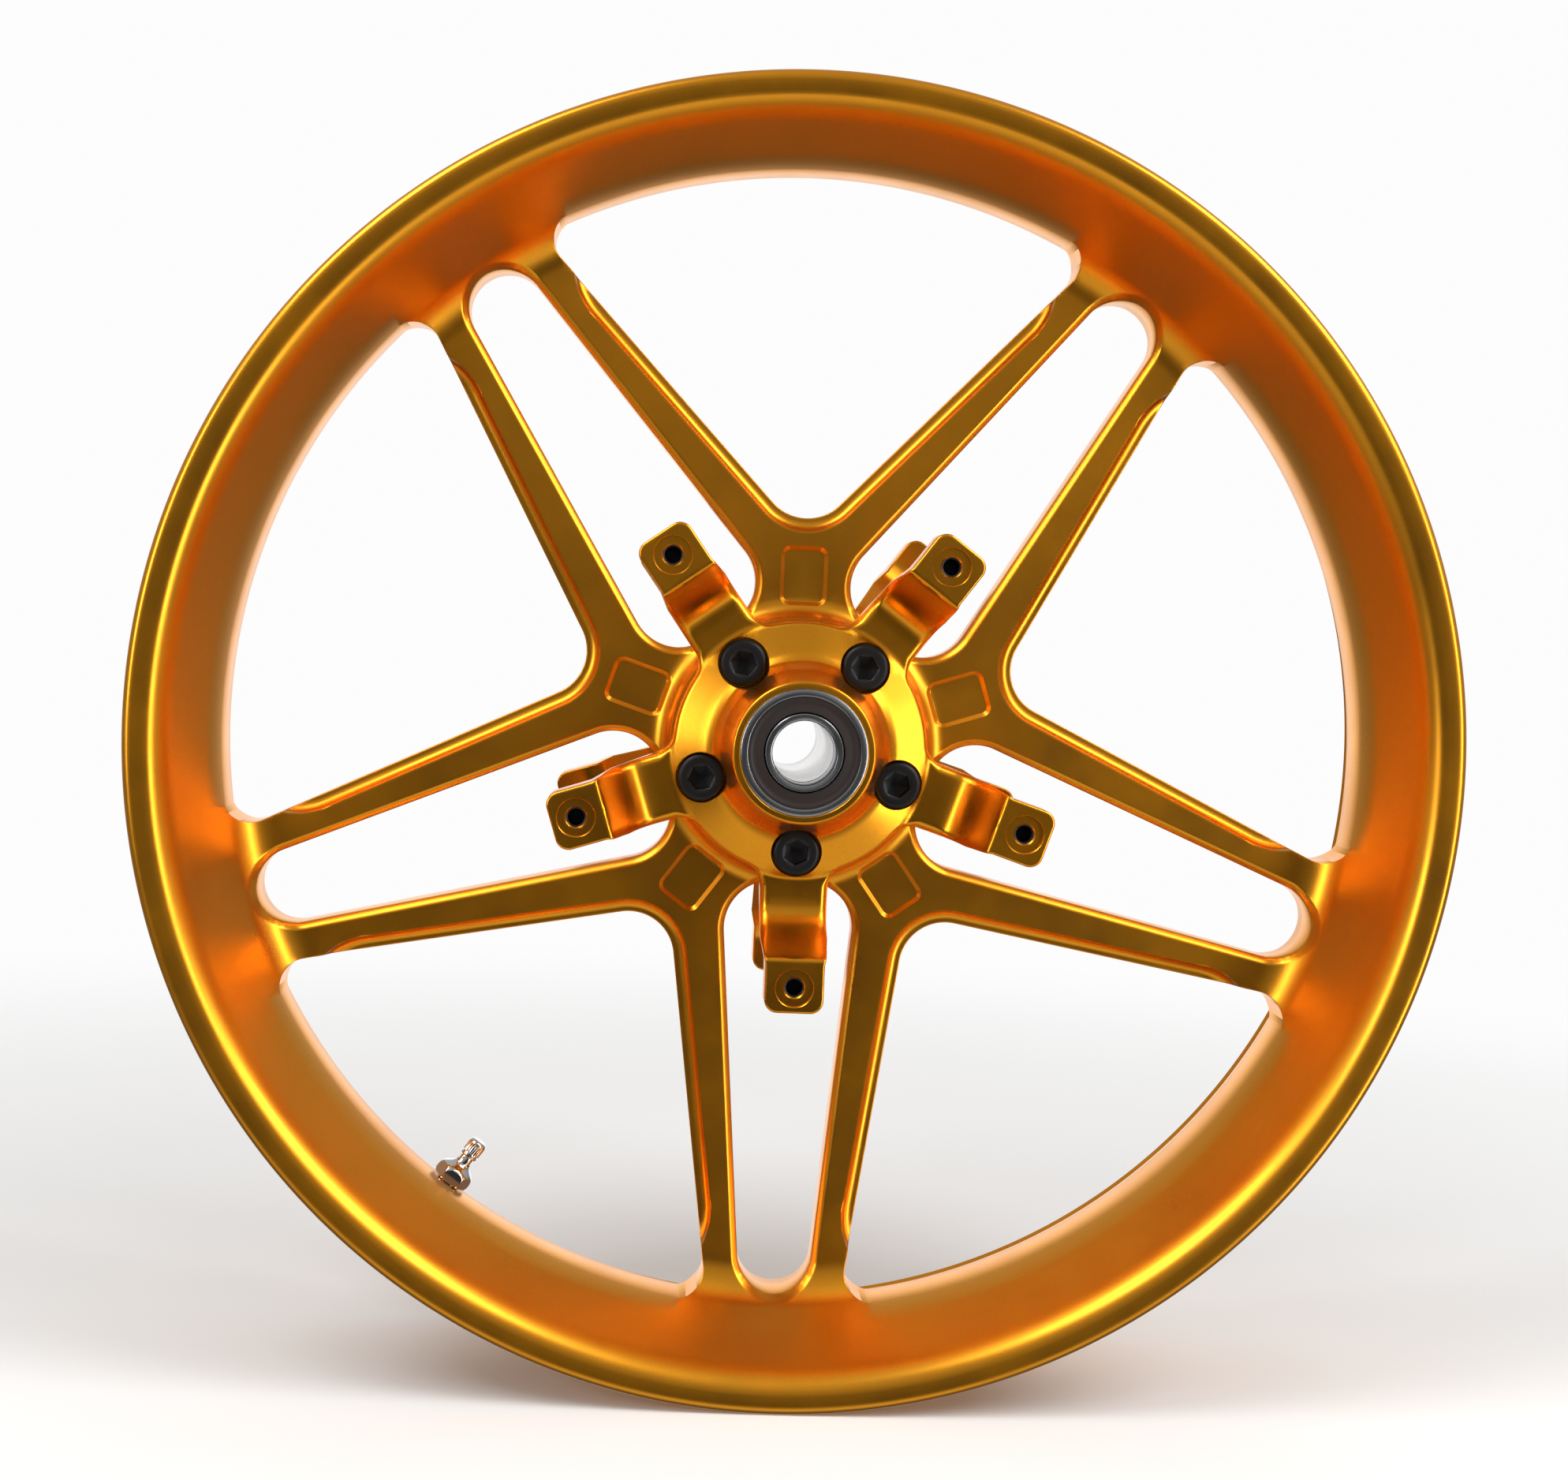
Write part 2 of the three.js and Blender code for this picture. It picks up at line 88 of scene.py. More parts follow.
# Where mesh lines run, so that every bend of a height function has one: distances from an outline, radii,
# and distances along an arm. The steps are in degrees round the axle.
RIM_STEP = 0.5
CARRIER_STEP = 1.0
LEDGE_LINES = (1.0, 1.5, 2.0, 2.5, 3.0, 3.4, 3.8, 4.1, 4.4, 4.65, 4.9, 5.2, 5.5, 5.8)
WINDOW_LINES = (0.07, 0.18, EDGE_ROUND)
LINES_END = {"ledge": 188.5, "window": 201.5}
SLOT_LINES = (0.18, 0.35, 1.2, 2.0, 2.25, 2.5, 2.8)
RECESS_LINES = (0.3, 0.0, -0.7, -1.4, -1.7)
FILLET_RINGS = (189.2, 190.6, 192, 193.4, 194.7, 195.7, 197, 198.3, 199.6, 200.8, 201.8, 202.7, 203.5)
BOSS_RINGS = (47.3, 47.9, 48.6, 49.6, 50.8, 52.1, 53.5)
CARRIER_LINES = (0.08, 0.25, 0.5, 0.8, 1.15, 1.5, 2.0, 2.5, 3.0)
COLLAR_RINGS = (
    26.8, 27.6, 28.1, 28.6, 29.4, 30.4, 31.0, 31.6, 32.8, 33.6, 34.4, 36.5, 39, 41.5, 44, 44.9, 45.8, 46.7,
    47.5,
)
ARM_LINES = (
    49, 52, 55.5, 57.2, 58.0, 58.8, 59.6, 61.2, 62.0, 62.8, 63.8, 65.0, 66.2, 67.2, 68.6, 69.6, 70.4, 71.0,
    71.6, 72.2, 73.0, 73.8, 77,
)
BORE_LINES = (0.0, 0.25, 0.55)
HOLE_LINES = (0.0, 0.5, 0.8)
SLIVER = 1e-4  # twice the area, in square millimetres, below which a triangle is dropped

COLLAR_JOINT = 26.0
FLANGE_RADIUS = 45.0
ARM = {"half": 12.0, "half_end": 11.8, "end": 66.0, "root_radius": 8.0}
PAD = {"inner": 72.4, "outer": 90.0, "half": 10.25, "corner": 4.6, "circle": 81.2}
PAD_BORE = {"radius": 6.55, "floor": 54.6, "hole": 3.4, "bottom": 44.5}
ARM_BLEND = {"start": 44.0, "length": 3.5}  # from the dished collar to the arms
UNDER_ROUND = 0.6
BORE_CHAMFER = 0.25
HOLE_CHAMFER = 0.5
BOLT_CIRCLE = 36.4
BOLT_SPIN = 17.0  # how much further each bolt is turned than the one before
BOLT_POCKET = {"radius": 8.75, "floor": 25.0, "hole": 5.2}
BOLT = {"head": 8.15, "top": 35.0, "shank": 4.9, "tip": 5.0, "hex": 4.0, "hex_floor": 30.0, "knurls": 40}

BEARING = {"bore": 11.0, "outer": 22.0, "width": 12.0, "face": 55.0, "inner_land": 13.45, "outer_land": 19.4}
BALL = {"count": 9, "radius": 3.1, "circle": 16.42, "groove": 3.22}
SPACER = {"bore": 10.8, "outer": 14.0, "half": 43.0}
VALVE_ANGLE = 216.0
# Cylinders cut from the forging on the valve's line: (middle's distance from the axle, radius, depth).
VALVE_SEAT = [(193.7, 10, 20), (212.6, 9, 10), (206.0, 4.15, 20)]

MARK_WOBBLE = 0.3  # how far the turning marks wander, in radians of their wave

# Brightness of the light tent on the viewer's side and on the far side, low and high; "behind" is a bright
# patch straight behind the wheel, and "floor" is light that comes up from the floor on the viewer's side.
TENT = {
    "front_low": 0.03, "front_high": 0.4, "back_low": 0.12, "back_high": 0.52, "behind": 1.3, "floor": 0.8
}
BACKDROP = (0.98, 0.98, 0.98, 1)
SOFTBOX_DISTANCE = 1.5
CAMERA = {"place": (-53.58, -882.3, 49.98), "turn": 3.202, "roll": 2.302, "tilt": 3.296, "lens": 55.64}


# ---------- plane outlines: arrays of points with outward normals ----------
def arc(centre, radius, start, stop, step=2.5):
    """Points on a circle between two angles, measured from +X toward +Z."""
    count = max(2, math.ceil(abs(stop - start) / step))
    angles = np.radians(np.linspace(start, stop, count + 1))
    normals = np.stack([np.cos(angles), np.sin(angles)], 1)
    return np.array(centre) + radius * normals, normals


def hollow_arc(centre, radius, start, stop, step=2.5):
    """An arc whose material lies outside its circle, so its outward normals point to its centre."""
    points, normals = arc(centre, radius, start, stop, step)
    return points, -normals


def straight(start, stop, step=2.0):
    """A straight run with its normal to the right of travel."""
    start = np.array(start, float)
    stop = np.array(stop, float)
    length = np.linalg.norm(stop - start)
    count = max(1, math.ceil(length / step))
    direction = (stop - start) / length
    points = start + np.linspace(0, 1, count + 1)[:, None] * (stop - start)
    return points, np.tile([direction[1], -direction[0]], (count + 1, 1))


def chain(*runs):
    points = [runs[0][0]] + [run[0][1:] for run in runs[1:]]
    normals = [runs[0][1]] + [run[1][1:] for run in runs[1:]]
    return np.concatenate(points), np.concatenate(normals)


def turn_plane(points, degrees):
    """Turns plane points clockwise as seen from the front."""
    c, s = math.cos(math.radians(degrees)), math.sin(math.radians(degrees))
    x, z = points[:, 0], points[:, 1]
    return np.stack([x * c + z * s, -x * s + z * c], 1)


def mirror_plane(points):
    return points * np.array([-1.0, 1.0])


def radius_of(points):
    return np.hypot(points[:, 0], points[:, 1])


def angle_of(points):
    """Clockwise angles from +Z, in degrees."""
    return np.degrees(np.arctan2(points[:, 0], points[:, 1]))


def on_mirror_line(points):
    """True where all points lie on one side line of the 36-degree sector."""
    angle = angle_of(points)
    return any((np.abs(angle - line) < 1e-4).all() for line in (0, HALF_PITCH))


def folded(points):
    """Plane points with the left half mirrored onto the right."""
    return np.column_stack([np.abs(points[:, 0]), points[:, 1]])


def read_profile(profile, places):
    """Linear interpolation in rows of (place, value)."""
    profile = np.array(profile)
    return np.interp(places, profile[:, 0], profile[:, 1])


def circle_run(radius, start, stop, step):
    """Points at clockwise angles from +Z."""
    count = round((stop - start) / step)
    angles = np.radians(start + np.arange(count + 1) * step)
    return np.stack([radius * np.sin(angles), radius * np.cos(angles)], 1)


def curve(start, corner, stop, count):
    """Points on the quadratic curve from start to stop that both ends aim at the corner."""
    t = np.linspace(0, 1, count)[:, None]
    start, corner, stop = (np.array(p, float) for p in (start, corner, stop))
    return (1 - t) ** 2 * start + 2 * t * (1 - t) * corner + t**2 * stop


def rounded_path(points, cut):
    """The polyline with every inner corner replaced by a short curve that starts "cut" before it."""
    points = [np.array(p, float) for p in points]
    path = [points[0]]
    for before, corner, after in zip(points, points[1:], points[2:]):
        a = min(cut, 0.45 * np.linalg.norm(before - corner))
        b = min(cut, 0.45 * np.linalg.norm(after - corner))
        start = corner + (before - corner) / np.linalg.norm(before - corner) * a
        stop = corner + (after - corner) / np.linalg.norm(after - corner) * b
        path.extend(curve(start, corner, stop, 5))
    path.append(points[-1])
    return np.array(path)


def smoothstep(t):
    t = np.clip(t, 0, 1)
    return t * t * (3 - 2 * t)


def round_drop(distance, radius):
    """How far a rounded edge of this radius lies below its corner."""
    inside = np.clip(radius - distance, 0, radius)
    return radius - np.sqrt(radius * radius - inside * inside)


def chamfer_drop(distance, size):
    """How far a 45-degree chamfer of this size lies below its corner."""
    return np.interp(distance, [0, size], [size, 0])


# ---------- the mesh of one 36-degree sector, repeated all round ----------
def inside_polygon(points, polygon):
    x, z = points[:, 0][:, None], points[:, 1][:, None]
    x1, z1 = polygon[:, 0], polygon[:, 1]
    x2, z2 = np.roll(x1, -1), np.roll(z1, -1)
    crosses = (z1 > z) != (z2 > z)
    gap = np.where(z2 == z1, 1, z2 - z1)
    left = x < (x2 - x1) * (z - z1) / gap + x1
    return (crosses & left).sum(1) % 2 == 1


def triangulate(boundary, runs):
    """Triangles inside the closed boundary, with edges along it and along every run."""
    points, edges = [], []
    for line in (boundary, *runs):
        base = len(points)
        points.extend(line.tolist())
        edges.extend((base + i, base + i + 1) for i in range(len(line) - 1))
        if line is boundary:
            edges.append((base + len(line) - 1, base))
    result = delaunay_2d_cdt([Vector(p) for p in points], edges, [], 0, 1e-5)
    flat = np.array([tuple(v) for v in result[0]])
    triangles = np.array([f for f in result[2] if len(f) == 3])
    first, second, third = flat[triangles].transpose(1, 0, 2)
    twice_area = np.abs(np.cross(second - first, third - first))
    triangles = triangles[twice_area > SLIVER]
    return flat, triangles[inside_polygon(flat[triangles].mean(1), boundary)]


def sector_faces(flat, triangles, regions, open_edge):
    """Upper and lower skins plus the walls between regions, as points (x, z, h) and faces.

    regions is a list of (polygon or None, upper, lower): a triangle belongs to the last polygon it lies in.
    An upper of None is a hole. open_edge(a, b) says that a boundary edge needs no wall.
    """
    middle = flat[triangles].mean(1)
    region_of = np.zeros(len(triangles), int)
    for index, (polygon, _, _) in enumerate(regions):
        if polygon is not None:
            region_of[inside_polygon(middle, polygon)] = index
    points, faces, slots = [], [], {}
    heights = [() if upper is None else (upper(flat), lower(flat)) for _, upper, lower in regions]

    def corner(region, side, vertex):
        key = (region, side, vertex)
        if key not in slots:
            slots[key] = len(points)
            points.append((flat[vertex][0], flat[vertex][1], heights[region][side][vertex]))
        return slots[key]

    def wall(one, two, a, b):
        """A quad between two levels of an edge; a level is (region, side)."""
        faces.append((corner(*one, a), corner(*one, b), corner(*two, b), corner(*two, a)))

    owners = {}
    for triangle, region in zip(triangles, region_of):
        a, b, c = (int(v) for v in triangle)
        for first, second in ((a, b), (b, c), (c, a)):
            owners.setdefault((min(first, second), max(first, second)), []).append(int(region))
        if regions[region][1] is None:
            continue
        faces.append(tuple(corner(region, 0, v) for v in (a, b, c)))
        faces.append(tuple(corner(region, 1, v) for v in (c, b, a)))
    for (a, b), sides in owners.items():
        solid = [region for region in sides if regions[region][1] is not None]
        if len(sides) == 1 and (not solid or open_edge(flat[a], flat[b])):
            continue
        if len(solid) == 1:
            wall((solid[0], 0), (solid[0], 1), a, b)
        elif len(solid) == 2 and solid[0] != solid[1]:
            for side in (0, 1):
                wall((solid[0], side), (solid[1], side), a, b)
    return np.array(points), faces


def all_round(points, faces):
    """Repeats a sector, mirrored and turned, to a full circle."""
    everything, every_face = [], []
    for turn in range(PAIRS):
        for flip in (1, -1):
            base = sum(len(block) for block in everything)
            plane = turn_plane(points[:, :2] * np.array([flip, 1.0]), turn * PITCH)
            everything.append(np.column_stack([plane, points[:, 2]]))
            every_face.extend(tuple(base + i for i in face) for face in faces)
    return np.concatenate(everything), every_face


def lathe_faces(rings, step, keep=None):
    """Quads between neighbouring rings. A ring is (radius, height), or a function of the clockwise angle.

    keep(angle) limits the quads to those whose middle angle it accepts.
    """
    count = round(360 / step)
    angles = np.arange(count) * step
    radians = np.radians(angles)
    points, faces = [], []
    for ring in rings:
        radius, height = ring(angles) if callable(ring) else np.outer(ring, np.ones(count))
        points.append(np.stack([radius * np.sin(radians), radius * np.cos(radians), height], 1))
    for i in range(len(rings) - 1):
        for j in range(count):
            if keep is not None and not keep(angles[j] + step / 2):
                continue
            k = (j + 1) % count
            faces.append((i * count + j, i * count + k, (i + 1) * count + k, (i + 1) * count + j))
    return np.concatenate(points), faces


def to_world(points):
    return np.stack([points[:, 0], -points[:, 2], points[:, 1]], 1) * MM


def add_object(name, data):
    thing = bpy.data.objects.new(name, data)
    bpy.context.scene.collection.objects.link(thing)
    return thing


def mesh_from(work, name):
    """Ends the bmesh and gives its mesh."""
    mesh = bpy.data.meshes.new(name)
    work.to_mesh(mesh)
    work.free()
    return mesh


def make_piece(name, blocks, material, sharp=35.0):
    """One welded, closed, smooth-shaded object from blocks of (points (x, z, h), faces)."""
    points, faces = [], []
    for block_points, block_faces in blocks:
        base = sum(len(block) for block in points)
        points.append(block_points)
        faces.extend(tuple(base + i for i in face) for face in block_faces)
    raw = bpy.data.meshes.new("raw")
    raw.from_pydata(to_world(np.concatenate(points)).tolist(), [], faces)
    work = bmesh.new()
    work.from_mesh(raw)
    bpy.data.meshes.remove(raw)
    bmesh.ops.remove_doubles(work, verts=work.verts, dist=2e-7)
    bmesh.ops.dissolve_degenerate(work, edges=work.edges, dist=1e-8)
    loose = [v for v in work.verts if not v.link_faces]
    bmesh.ops.delete(work, geom=loose, context="VERTS")
    bmesh.ops.recalc_face_normals(work, faces=work.faces)
    mesh = mesh_from(work, name)
    mesh.shade_smooth()
    mesh.set_sharp_from_angle(angle=math.radians(sharp))
    mesh.materials.append(material)
    piece = add_object(name, mesh)
    weighted = piece.modifiers.new("weighted_normals", "WEIGHTED_NORMAL")
    weighted.mode = "CORNER_ANGLE"
    weighted.keep_sharp = True
    return piece


def dress(piece, nodes, body):
    """Puts the piece in place of its CAD nodes."""
    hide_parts(*nodes)
    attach(piece, body)


# ---------- materials ----------
class NodeTree:
    """Short calls for a node tree. An input is given a number, a colour or another node's output."""

    def __init__(self, tree):
        self.nodes = tree.nodes
        self.links = tree.links

    def feed(self, node, inputs):
        for socket, value in inputs.items():
            if isinstance(value, bpy.types.NodeSocket):
                self.links.new(value, node.inputs[socket])
            else:
                node.inputs[socket].default_value = value

    def add(self, kind, inputs=None, output=0, **settings):
        """Makes a node and gives back one of its outputs."""
        node = self.nodes.new(f"ShaderNode{kind}")
        for setting, value in settings.items():
            setattr(node, setting, value)
        self.feed(node, inputs or {})
        return node.outputs[output]


def new_material(name):
    """A material, its node tree and its shader."""
    material = bpy.data.materials.new(name)
    material.use_nodes = True
    tree = NodeTree(material.node_tree)
    return material, tree, tree.nodes["Principled BSDF"]


def object_noise(tree, scale, detail=3.0, roughness=0.5):
    """Noise in object space; scale is in features per metre."""
    place = tree.add("TexCoord", output="Object")
    inputs = {"Vector": place, "Scale": scale, "Detail": detail, "Roughness": roughness}
    return tree.add("TexNoise", inputs, "Fac")


def spread(tree, source, low, high, start=0.3, stop=0.7, interpolation="LINEAR"):
    """Maps the source's range start to stop onto the range low to high."""
    inputs = {"Value": source, "From Min": start, "From Max": stop, "To Min": low, "To Max": high}
    return tree.add("MapRange", inputs, "Result", interpolation_type=interpolation)


def blend_colours(tree, factor, first, second):
    first, second = ((*c, 1) if isinstance(c, tuple) else c for c in (first, second))
    return tree.add("Mix", {0: factor, 6: first, 7: second}, 2, data_type="RGBA")


def turning_marks(tree, pitch):
    """Fine concentric tool marks about the axle, as a height; the pitch is in millimetres."""
    split = tree.add("SeparateXYZ", {0: tree.add("TexCoord", output="Object")}).node
    flat = tree.add("CombineXYZ", {"X": split.outputs["X"], "Z": split.outputs["Z"]})
    radius = tree.add("VectorMath", {0: flat}, "Value", operation="LENGTH")
    turns = tree.add("Math", {0: radius, 1: math.tau / (pitch * MM)}, operation="MULTIPLY")
    wobble = {0: object_noise(tree, 90, 2), 1: MARK_WOBBLE, 2: turns}
    return tree.add("Math", {0: tree.add("Math", wobble, operation="MULTIPLY_ADD")}, operation="SINE")


def add_bump(tree, shader, heights):
    """Stacks bumps; heights is a list of (height socket, depth in mm)."""
    normal = {}
    for height, depth in heights:
        inputs = {"Height": height, "Distance": depth * MM, "Strength": 1.0, **normal}
        normal = {"Normal": tree.add("Bump", inputs, "Normal")}
    tree.feed(shader, normal)


def metal(name, colour, second, roughness, grain=None, marks=None, metallic=1.0, coat=0.0):
    """Metal with patchy colour and roughness, a blasted grain and optional turning marks.

    grain is (features per metre, depth in mm); marks is (pitch in mm, depth in mm).
    """
    material, tree, shader = new_material(name)
    patches = object_noise(tree, 25, 4, 0.6)
    tone = blend_colours(tree, spread(tree, patches, 0, 1), colour, second)
    darker = tuple(0.82 * c for c in colour)
    speckle = spread(tree, object_noise(tree, 1400, 2, 0.6), 0, 0.45, 0.5, 0.75)
    tree.feed(shader, {
        "Base Color": blend_colours(tree, speckle, tone, darker),
        "Roughness": spread(tree, patches, roughness - 0.04, roughness + 0.05),
        "Metallic": metallic,
        "Coat Weight": coat,
        "Coat Roughness": roughness,
        "Coat IOR": 1.6,
    })
    heights = []
    if grain is not None:
        heights.append((object_noise(tree, grain[0], 3, 0.65), grain[1]))
    if marks is not None:
        heights.append((turning_marks(tree, marks[0]), marks[1]))
    add_bump(tree, shader, heights)
    return material


def soft_material(name, colour, second, roughness, grain, depth):
    """Rubber or polymer with patchy colour; grain is in features per metre and depth in mm."""
    material, tree, shader = new_material(name)
    patches = object_noise(tree, 160, 4, 0.6)
    tree.feed(shader, {
        "Base Color": blend_colours(tree, spread(tree, patches, 0, 1), colour, second),
        "Roughness": spread(tree, patches, roughness - 0.06, roughness + 0.06),
        "Specular IOR Level": 0.35,
    })
    add_bump(tree, shader, [(object_noise(tree, grain, 3, 0.6), depth)])
    return material


GREY = (0.72, 0.72, 0.73)
GOLD = metal("gold_anodised", (0.84, 0.335, 0.006), (0.79, 0.305, 0.004), 0.31, (2600, 0.003), coat=0.3)
GOLD_CARRIER = metal(
    "gold_turned", (0.85, 0.335, 0.006), (0.8, 0.305, 0.004), 0.28, (2600, 0.002), (0.35, 0.0012), coat=0.25
)
BLACK_OXIDE = metal(
    "black_oxide", (0.012, 0.012, 0.013), (0.02, 0.018, 0.017), 0.42, (1500, 0.006), metallic=0.6
)
STEEL = metal("bearing_steel", (0.33, 0.33, 0.35), (0.4, 0.4, 0.41), 0.24, (900, 0.003), (0.22, 0.003))
BALL_STEEL = metal("ball_steel", (0.62, 0.63, 0.65), (0.58, 0.59, 0.6), 0.1, (900, 0.001))
TURNED_ALUMINIUM = metal("turned_aluminium", GREY, (0.66, 0.66, 0.67), 0.32, marks=(0.3, 0.004))
CHROME = metal("chrome_plate", GREY, (0.66, 0.66, 0.68), 0.1, (500, 0.004))
BRASS = metal("brass", (0.68, 0.46, 0.17), (0.6, 0.4, 0.15), 0.24, (900, 0.004))
SEAL = soft_material("seal_rubber", (0.022, 0.013, 0.01), (0.014, 0.009, 0.008), 0.5, 1500, 0.02)
CAGE = soft_material("cage_polymer", (0.05, 0.065, 0.045), (0.035, 0.05, 0.035), 0.5, 900, 0.02)
RUBBER = soft_material("black_rubber", (0.018, 0.018, 0.018), (0.03, 0.03, 0.03), 0.65, 1400, 0.03)


# ---------- the forging ----------
def window_edge():
    """Right half of a window's outline from the bottom of its apex to the well wall."""
    half = WINDOW["half_angle"]
    side = np.array([math.cos(math.radians(half)), -math.sin(math.radians(half))])
    tangent = math.radians(WINDOW["tangent"])
    line = WINDOW["apex_z"] * math.sin(math.radians(half)) - WINDOW["apex_radius"]
    spread_sine = math.sin(math.radians(half - WINDOW["tangent"]))
    corner = (WELL_INNER * spread_sine - line) / (1 + spread_sine)
    centre = (WELL_INNER - corner) * np.array([math.sin(tangent), math.cos(tangent)])
    apex = np.array([0.0, WINDOW["apex_z"]])
    points, normals = chain(
        arc(apex, WINDOW["apex_radius"], -90, -half),
        straight(apex + WINDOW["apex_radius"] * side, centre + corner * side),
        arc(centre, corner, -half, 90 - WINDOW["tangent"], 2.0),
    )
    return points, normals, side, line, centre, corner


def slot_edge():
    """Right half of a slot's outline around +Z, from the middle of its foot to its round end."""
    taper = math.radians(SLOT["taper"])
    side = np.array([math.cos(taper), math.sin(taper)])
    reference = np.array([SLOT["half_at_100"], 100.0])
    end = np.array([0.0, SLOT["end_z"]])
    end_radius = float(np.dot(reference - end, side))
    foot_z = SLOT["foot_z"] + SLOT["foot_radius"]
    foot_x = SLOT["half_at_100"] - (foot_z - 100) * math.tan(taper) - SLOT["foot_radius"] / math.cos(taper)
    foot = np.array([foot_x, foot_z])
    points, normals = chain(
        straight((0, SLOT["foot_z"]), (foot_x, SLOT["foot_z"])),
        arc(foot, SLOT["foot_radius"], -90, SLOT["taper"]),
        straight(foot + SLOT["foot_radius"] * side, end + end_radius * side),
        arc(end, end_radius, SLOT["taper"], 90, 4.0),
    )
    return points, normals, side, reference, end, end_radius, foot


def recess_edge(grow):
    """Right half of a recess outline around +Z."""
    corner = RECESS["corner"] + grow
    x = RECESS["width"] / 2 - RECESS["corner"]
    z = RECESS["length"] / 2 - RECESS["corner"]
    low, high = RECESS["z"] - z, RECESS["z"] + z
    return chain(
        straight((0, low - corner), (x, low - corner)),
        arc((x, low), corner, -90, 0, 9),
        straight((x + corner, low), (x + corner, high)),
        arc((x, high), corner, 0, 90, 9),
        straight((x, high + corner), (0, high + corner)),
    )[0]


def ledge_runout(radius):
    return np.clip(radius - LEDGE["runout_from"], 0, None) ** 2 / LEDGE["runout_rate"]


def edge_taper(radius):
    """Edge rounding dies away before the window corners meet the well wall."""
    return smoothstep((EDGE_FADE["end"] - radius) / EDGE_FADE["length"])


def window_distance(flat):
    """Distance outside a window's outline."""
    _, _, side, line, corner_centre, corner = WINDOW_EDGE
    p = folded(flat)
    distance = p @ side + line
    along = np.array([-side[1], side[0]])
    from_apex = p - np.array([0.0, WINDOW["apex_z"]])
    distance = np.where(from_apex @ along < 0, radius_of(from_apex) - WINDOW["apex_radius"], distance)
    from_corner = p - corner_centre
    return np.where(from_corner @ along > 0, radius_of(from_corner) - corner, distance)


def slot_distance(flat):
    """Distance outside a slot's outline."""
    _, _, side, reference, end, end_radius, foot = SLOT_EDGE
    p = folded(turn_plane(flat, -HALF_PITCH))
    distance = (p - reference) @ side
    along = np.array([-side[1], side[0]])
    from_end = p - end
    distance = np.where(from_end @ along > 0, radius_of(from_end) - end_radius, distance)
    from_foot = p - foot
    at_foot = (from_foot @ along < 0) & (p[:, 0] > foot[0])
    distance = np.where(at_foot, radius_of(from_foot) - SLOT["foot_radius"], distance)
    below = (p[:, 0] <= foot[0]) & (p[:, 1] < foot[1])
    return np.where(below, SLOT["foot_z"] - p[:, 1], distance)


def recess_drop(flat):
    """Depth of the shallow pocket milled into each spoke stem."""
    x = RECESS["width"] / 2 - RECESS["corner"]
    z = RECESS["length"] / 2 - RECESS["corner"]
    dx = np.abs(flat[:, 0]) - x
    dz = np.abs(flat[:, 1] - RECESS["z"]) - z
    outside = np.hypot(np.clip(dx, 0, None), np.clip(dz, 0, None)) + np.minimum(np.maximum(dx, dz), 0)
    inward = RECESS["corner"] - outside
    return RECESS["depth"] * np.clip(inward / RECESS["slope"], 0, 1)


def ledge_depth(distance):
    """Depth of the cove along the big windows: a narrow floor, a hollow curve, a short steep top."""
    full = WEB_HALF - LEDGE["floor"]
    out = np.clip(distance - LEDGE["flat"], 0, LEDGE["cove"] * 0.98)
    hollow = full - (LEDGE["cove"] - np.sqrt(LEDGE["cove"] ** 2 - out**2)) * full / LEDGE["cove"]
    top = [(LEDGE["width"] + place, share) for place, share in ((-0.2, 1.0), (0.3, 0.06), (0.9, 0.0))]
    return hollow * read_profile(top, distance)


def spoke_drop(flat):
    """How far the machined edges lie below the plain web."""
    radius = radius_of(flat)
    from_window = np.clip(window_distance(flat), 0, None)
    drop = ledge_depth(from_window + ledge_runout(radius))
    drop = drop + round_drop(from_window, EDGE_ROUND) * edge_taper(radius)
    from_slot = np.clip(slot_distance(flat), 0, None)
    return drop + read_profile(SLOT_CHAMFER, from_slot) + recess_drop(flat)


def boss_height(radius):
    inside = np.clip(BOSS["radius"] + BOSS["fillet"] - radius, 0, BOSS["fillet"])
    return BOSS["fillet"] - np.sqrt(BOSS["fillet"] ** 2 - inside**2)


def fillet_height(radius, fillet):
    out = np.clip(radius - fillet["start"], 0, fillet["radius"] * 0.999)
    return fillet["radius"] - np.sqrt(fillet["radius"] ** 2 - out**2)


def front_height(flat):
    radius = radius_of(flat)
    return WEB_HALF + boss_height(radius) + fillet_height(radius, FRONT_FILLET) - spoke_drop(flat)


def corner_share(radius, angle):
    """1 beside a window at the well wall, 0 on the spokes: there the rear cone replaces the rear fillet."""
    beyond = (angle - WINDOW["tangent"]) / CORNER_BLEND["degrees"]
    outward = (radius - CORNER_BLEND["start"]) / (WELL_INNER - CORNER_BLEND["start"])
    return (1 - smoothstep(beyond)) * smoothstep(outward)


def rear_plain(radius, angle):
    spoke = -(WEB_HALF + boss_height(radius) + fillet_height(radius, REAR_FILLET))
    cone = -np.clip(radius - WELL_INNER, 0, None) * CONE_SLOPE
    share = corner_share(radius, angle)
    return spoke * (1 - share) + cone * share


def rear_height(flat):
    radius = radius_of(flat)
    return rear_plain(radius, angle_of(folded(flat))) + spoke_drop(flat)


def window_contour(distance, runout):
    """A line this far outside the window outline, drawn until it runs into the outline."""
    points, normals = WINDOW_EDGE[:2]
    radius = radius_of(points)
    offset = distance - ledge_runout(radius) if runout else distance * np.ones(len(points))
    limit = LINES_END["ledge" if runout else "window"]
    keep = (offset > 0.01) & (radius < limit)
    stop = int(np.argmin(keep)) if not keep.all() else len(points)
    return points[:stop] + normals[:stop] * offset[:stop, None]


WINDOW_EDGE = window_edge()
SLOT_EDGE = slot_edge()


